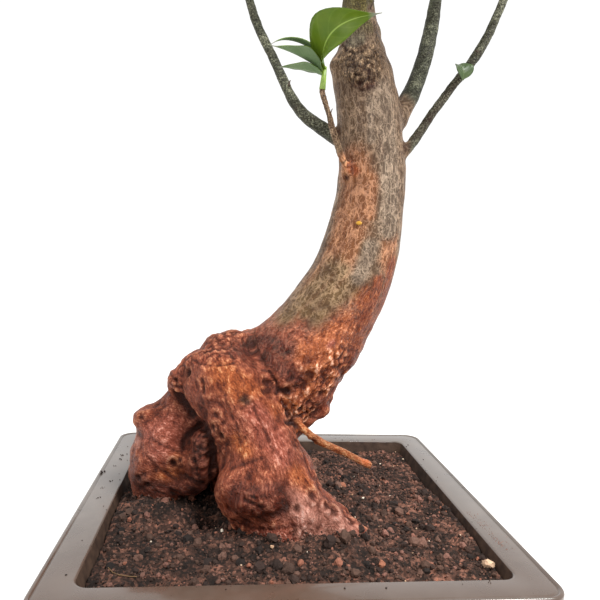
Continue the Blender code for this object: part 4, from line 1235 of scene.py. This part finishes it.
# The yellow shell of a scale insect, a low waxy dome longer than it is wide, sits on the bark and
# is half sunk into it.
YELLOW_SPECK = (359, 223)
SHELL_RADII = (1.3 * MM, 2.1 * MM, 0.8 * MM)
shell = new_material("yellow scale shell", "#a87a14", 0.4)
point, normal = seen_at(skin_tree, *YELLOW_SPECK)
shape = bmesh.new()
turn = normal.to_track_quat("Z", "X").to_matrix().to_4x4()
bmesh.ops.create_icosphere(
    shape, subdivisions=3, radius=1,
    matrix=Matrix.Translation(point) @ turn @ Matrix.Diagonal((*SHELL_RADII, 1)),
)
speck_piece = new_piece("yellow_scale", shape, shell)
speck_piece.data.shade_smooth()
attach(speck_piece, "root")

# The leaves.
# Simple leaves, soft and glossy, in a whorl at the end of each green shoot. A blade folds a
# little along its pale midrib and arches over, and its underside is duller and paler.

PETIOLE_HALF = 0.9 * MM
LEAF_THICK = 0.45 * MM
GOLDEN_ANGLE = math.radians(137.5)
SHOOT_LENGTH, LOW_SHOOT_LENGTH, SHOOT_SUNK = 23 * MM, 13 * MM, 1.4 * MM
STEM_FOOT_RADIUS, STEM_TIP_RADIUS, STEM_SIDES = 2.1 * MM, 1.3 * MM, 14
LEAF_SLIMNESS = 0.42
LEAF_ROWS = 20
LEAF_COLUMNS = 10

leaf_top = new_material(
    "leaf upper face", "#5c8a33", 0.34,
    {
        "IOR": 1.42, "Specular IOR Level": 0.2, "Subsurface Weight": 0.12,
        "Subsurface Radius": (0.5, 1.0, 0.2), "Subsurface Scale": 1.0 * MM,
    },
)
leaf_under = new_material("leaf underside", "#7f9a6a", 0.6)


def vein_colours(material, blade, dark_blade, vein):
    """Blade colour with a pale midrib and side veins, read from the leaf's own UV map."""
    uv, place = (add_node(material, "TexCoord", output=name) for name in ("UV", "Object"))
    across, along = (add_node(material, "SeparateXYZ", (uv,), axis) for axis in ("X", "Y"))
    centred = add_node(material, "Math", (across, 0.5), operation="SUBTRACT")
    away = add_node(material, "Math", (centred,), operation="ABSOLUTE")
    midrib = add_node(material, "MapRange", (away, 0.008, 0.028, 0.8, 0))
    swept = add_node(material, "Math", (away, -0.55, along), operation="MULTIPLY_ADD")
    many = add_node(material, "Math", (swept, 12 * math.pi), operation="MULTIPLY")
    wave = add_node(material, "Math", (many,), operation="SINE")
    side_vein = add_node(material, "MapRange", (wave, 0.86, 1.0, 0, 0.08))
    veins = add_node(material, "Math", (midrib, side_vein), operation="MAXIMUM")
    # The very tip has dried grey.
    dry = add_node(material, "MapRange", (along, 0.86, 0.93))
    cloud = add_node(material, "TexNoise", {"Vector": place, "Scale": per_metre(9), "Detail": 4})
    colour = add_node(material, "ValToRGB", (cloud,), stops=[(0.3, dark_blade), (0.7, blade)])
    for share_of, over in ((veins, vein), (dry, "#77786a")):
        colour = add_node(material, "Mix", {0: share_of, 6: colour, 7: linear(over)}, 2, data_type="RGBA")
    relief_of = add_node(material, "Bump", {"Height": wave, "Strength": 0.15, "Distance": 0.3 * MM})
    link(material, {"Base Color": colour, "Normal": relief_of})


vein_colours(leaf_top, "#54661a", "#455b13", "#869a4a")
vein_colours(leaf_under, "#5a6d4a", "#4a603c", "#82926c")
# The small leaf's upper face is painted darker than the other leaves: painted shade.
shaded_leaf_top = new_material("small leaf face in painted shade", "#3d4f1e", 0.45)
vein_colours(shaded_leaf_top, "#3a4c1c", "#2d3f1c", "#55653a")
stem_green = new_material("green shoot skin", "#8aa83f", 0.45)
place = add_node(stem_green, "TexCoord", output="Object")
cloud = add_node(stem_green, "TexNoise", {"Vector": place, "Scale": per_metre(3), "Detail": 3})
skin = add_node(stem_green, "ValToRGB", (cloud,), stops=[(0.3, "#5c7426"), (0.7, "#7f983c")])
link(stem_green, {"Base Color": skin})


def blade_share(t):
    """Half width of a pointed leaf as a share of its widest, from base to tip."""
    return 8.7 * t**1.3 * (1 - t) ** 1.9


def add_leaf(tuft, root, turned, length, width, droop, bend=0.0, fold=0.35):
    """Adds one arched, folded leaf to a tuft's bmesh. Its midrib starts along the turned Y axis."""
    blade = bmesh.ops.create_grid(
        tuft, x_segments=LEAF_COLUMNS, y_segments=LEAF_ROWS, size=1, calc_uvs=True
    )["verts"]
    faces = list({face for vert in blade for face in vert.link_faces})
    thick = bmesh.ops.solidify(tuft, geom=faces, thickness=0.1)["geom"]
    verts = set(blade) | {item for item in thick if isinstance(item, bmesh.types.BMVert)}
    under = {vert for vert in verts if vert.co.z < -0.05}
    points, last = {}, 0.0
    point = Vector((0, 0, 0))
    for row in range(LEAF_ROWS + 1):
        t = row / LEAF_ROWS
        middle_t = (t + last) / 2
        step = Matrix.Rotation(-bend * middle_t, 3, "Z") @ Matrix.Rotation(-droop * middle_t, 3, "X")
        point = point + step @ Vector((0, (t - last) * length, 0))
        points[row] = point
        last = t
    for vert in verts:
        row = round((vert.co.y + 1) / 2 * LEAF_ROWS)
        t, side, below = row / LEAF_ROWS, vert.co.x, vert.co.z < -0.05
        turn = Matrix.Rotation(-bend * t, 3, "Z") @ Matrix.Rotation(-droop * t, 3, "X")
        half = max(PETIOLE_HALF * max(0.12, 1 - t), width / 2 * blade_share(t))
        opened = min(1, t / 0.15)
        thickness = 2 * PETIOLE_HALF * (1 - opened) + LEAF_THICK * opened
        wave = 0.05 * half * math.sin(t * 17) * abs(side) ** 2 * opened
        lift = fold * half * abs(side) ** 1.15 * opened + wave - thickness * (0.5 if below else -0.5)
        vert.co = root + turned @ (points[row] + turn @ Vector((side * half, 0, lift)))
    for face in {face for vert in verts for face in vert.link_faces}:
        face.smooth = True
        face.material_index = 1 if set(face.verts) <= under else 0


def leaf_frame(azimuth, rise, roll=0.0):
    """Side, forward and up directions of a leaf that points along an azimuth and rises."""
    turn = Matrix.Rotation(azimuth - math.pi / 2, 3, "Z") @ Matrix.Rotation(rise, 3, "X")
    return turn @ Matrix.Rotation(roll, 3, "Y")


def new_tuft():
    """An empty bmesh that can hold leaves with their UV maps."""
    tuft = bmesh.new()
    tuft.loops.layers.uv.new("UVMap")
    return tuft


def add_shoot(tuft, foot, aim, length):
    """The green stem of a tuft, tapering to its bud."""
    start, end = foot - aim * SHOOT_SUNK, foot + aim * length
    stem = add_rod(tuft, start, end, STEM_FOOT_RADIUS, STEM_TIP_RADIUS, STEM_SIDES)
    for face in {face for vert in stem for face in vert.link_faces}:
        face.material_index = 2
        face.smooth = len(face.verts) == 4


def finish_tuft(name, tuft, upper_face=leaf_top):
    """Makes the piece of a tuft from its bmesh."""
    piece = new_piece(name + "_tuft", tuft, upper_face, leaf_under, stem_green)
    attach(piece, "root")
    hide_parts(name)


# Each tuft: name, the wood's end and the point before it in mm, leaf count, longest leaf in
# mm, and seed
TUFTS = [
    ("leader_leaves", (31, 1, 526), (29, 3, 508), 8, 58, 3),
    ("left_top_leaves", (-53, 8, 508), (-52, 13, 492), 7, 54, 5),
    ("left_outer_leaves", (-134, 22, 484), (-108, 27, 473), 7, 52, 8),
    ("left_back_leaves", (-36, 46, 500), (-44, 32, 488), 6, 52, 13),
    ("front_leaves", (-4, -44, 508), (2, -38, 494), 8, 56, 17),
    ("back_leaves", (42, 52, 510), (42, 38, 494), 7, 54, 21),
    ("right_back_leaves", (76, 70, 500), (80, 56, 486), 7, 52, 26),
    ("right_top_leaves", (103, 14, 508), (100, 18, 490), 7, 54, 30),
    ("right_front_leaves", (93, -38, 508), (94, -22, 496), 7, 52, 34),
    ("thin_top_leaves", (138, -23, 484), (138.5, -20, 471), 6, 46, 39),
    ("thin_front_leaves", (118, -54, 464), (124, -34, 454), 6, 46, 44),
]
for name, foot, before, leaves, longest, seed in TUFTS:
    rng = random.Random(seed)
    foot = Vector(foot) * MM
    aim = (foot - Vector(before) * MM).normalized()
    tuft = new_tuft()
    add_shoot(tuft, foot, aim, SHOOT_LENGTH)
    for i in range(leaves):
        share_up = i / (leaves - 1)
        rise = math.radians(16 + 54 * share_up + rng.uniform(-8, 8))
        length = longest * (1 - 0.4 * share_up) * rng.uniform(0.9, 1.05) * MM
        turned = leaf_frame(seed + i * GOLDEN_ANGLE, rise, rng.uniform(-0.3, 0.3))
        droop, bend = math.radians(rng.uniform(30, 70)), rng.uniform(-0.3, 0.3)
        root = foot + aim * (5 + 17 * share_up) * MM
        add_leaf(tuft, root, turned, length, LEAF_SLIMNESS * length, droop, bend)
    finish_tuft(name, tuft)

# The low tuft on its short twig, leaf by leaf as the photograph shows it, and the lone small
# leaf on the thin branch: azimuth, rise, length, width, droop, roll, bend and fold
LOW_FOOT, LOW_BEFORE = (10.6, -24.9, 371), (10.4, -24.8, 368)
LOW_LEAVES = [
    (56, 128, 61.4, 25.3, 70, -46.5, 107, 0.58),
    (185, 32, 38.6, 17.2, 26, -7, -19, 0.66),
    (184, 13, 30.7, 12, 19, 9, 2, 0.32),
    (146, 89, 50.5, 5.6, 136, 48, 25, 0.37),
]
SMALL_LEAF_ROOT = (107.3, -15.2, 385.5)
SMALL_LEAF = (110, 130, 17, 14, 150, 0, -20, 0.3)


def add_posed_leaf(tuft, root, pose):
    """Adds a leaf placed as its pose gives."""
    azimuth, rise, length, width, droop, roll, bend, fold = pose
    azimuth, rise, droop, roll, bend = (math.radians(a) for a in (azimuth, rise, droop, roll, bend))
    add_leaf(tuft, root, leaf_frame(azimuth, rise, roll), length * MM, width * MM, droop, bend, fold)


foot = Vector(LOW_FOOT) * MM
aim = (foot - Vector(LOW_BEFORE) * MM).normalized()
tuft = new_tuft()
add_shoot(tuft, foot, aim, LOW_SHOOT_LENGTH)
for number, pose in enumerate(LOW_LEAVES):
    add_posed_leaf(tuft, foot + aim * (11 - 1.5 * number) * MM, pose)
finish_tuft("low_leaves", tuft)
tuft = new_tuft()
add_posed_leaf(tuft, Vector(SMALL_LEAF_ROOT) * MM, SMALL_LEAF)
finish_tuft("small_leaf", tuft, shaded_leaf_top)
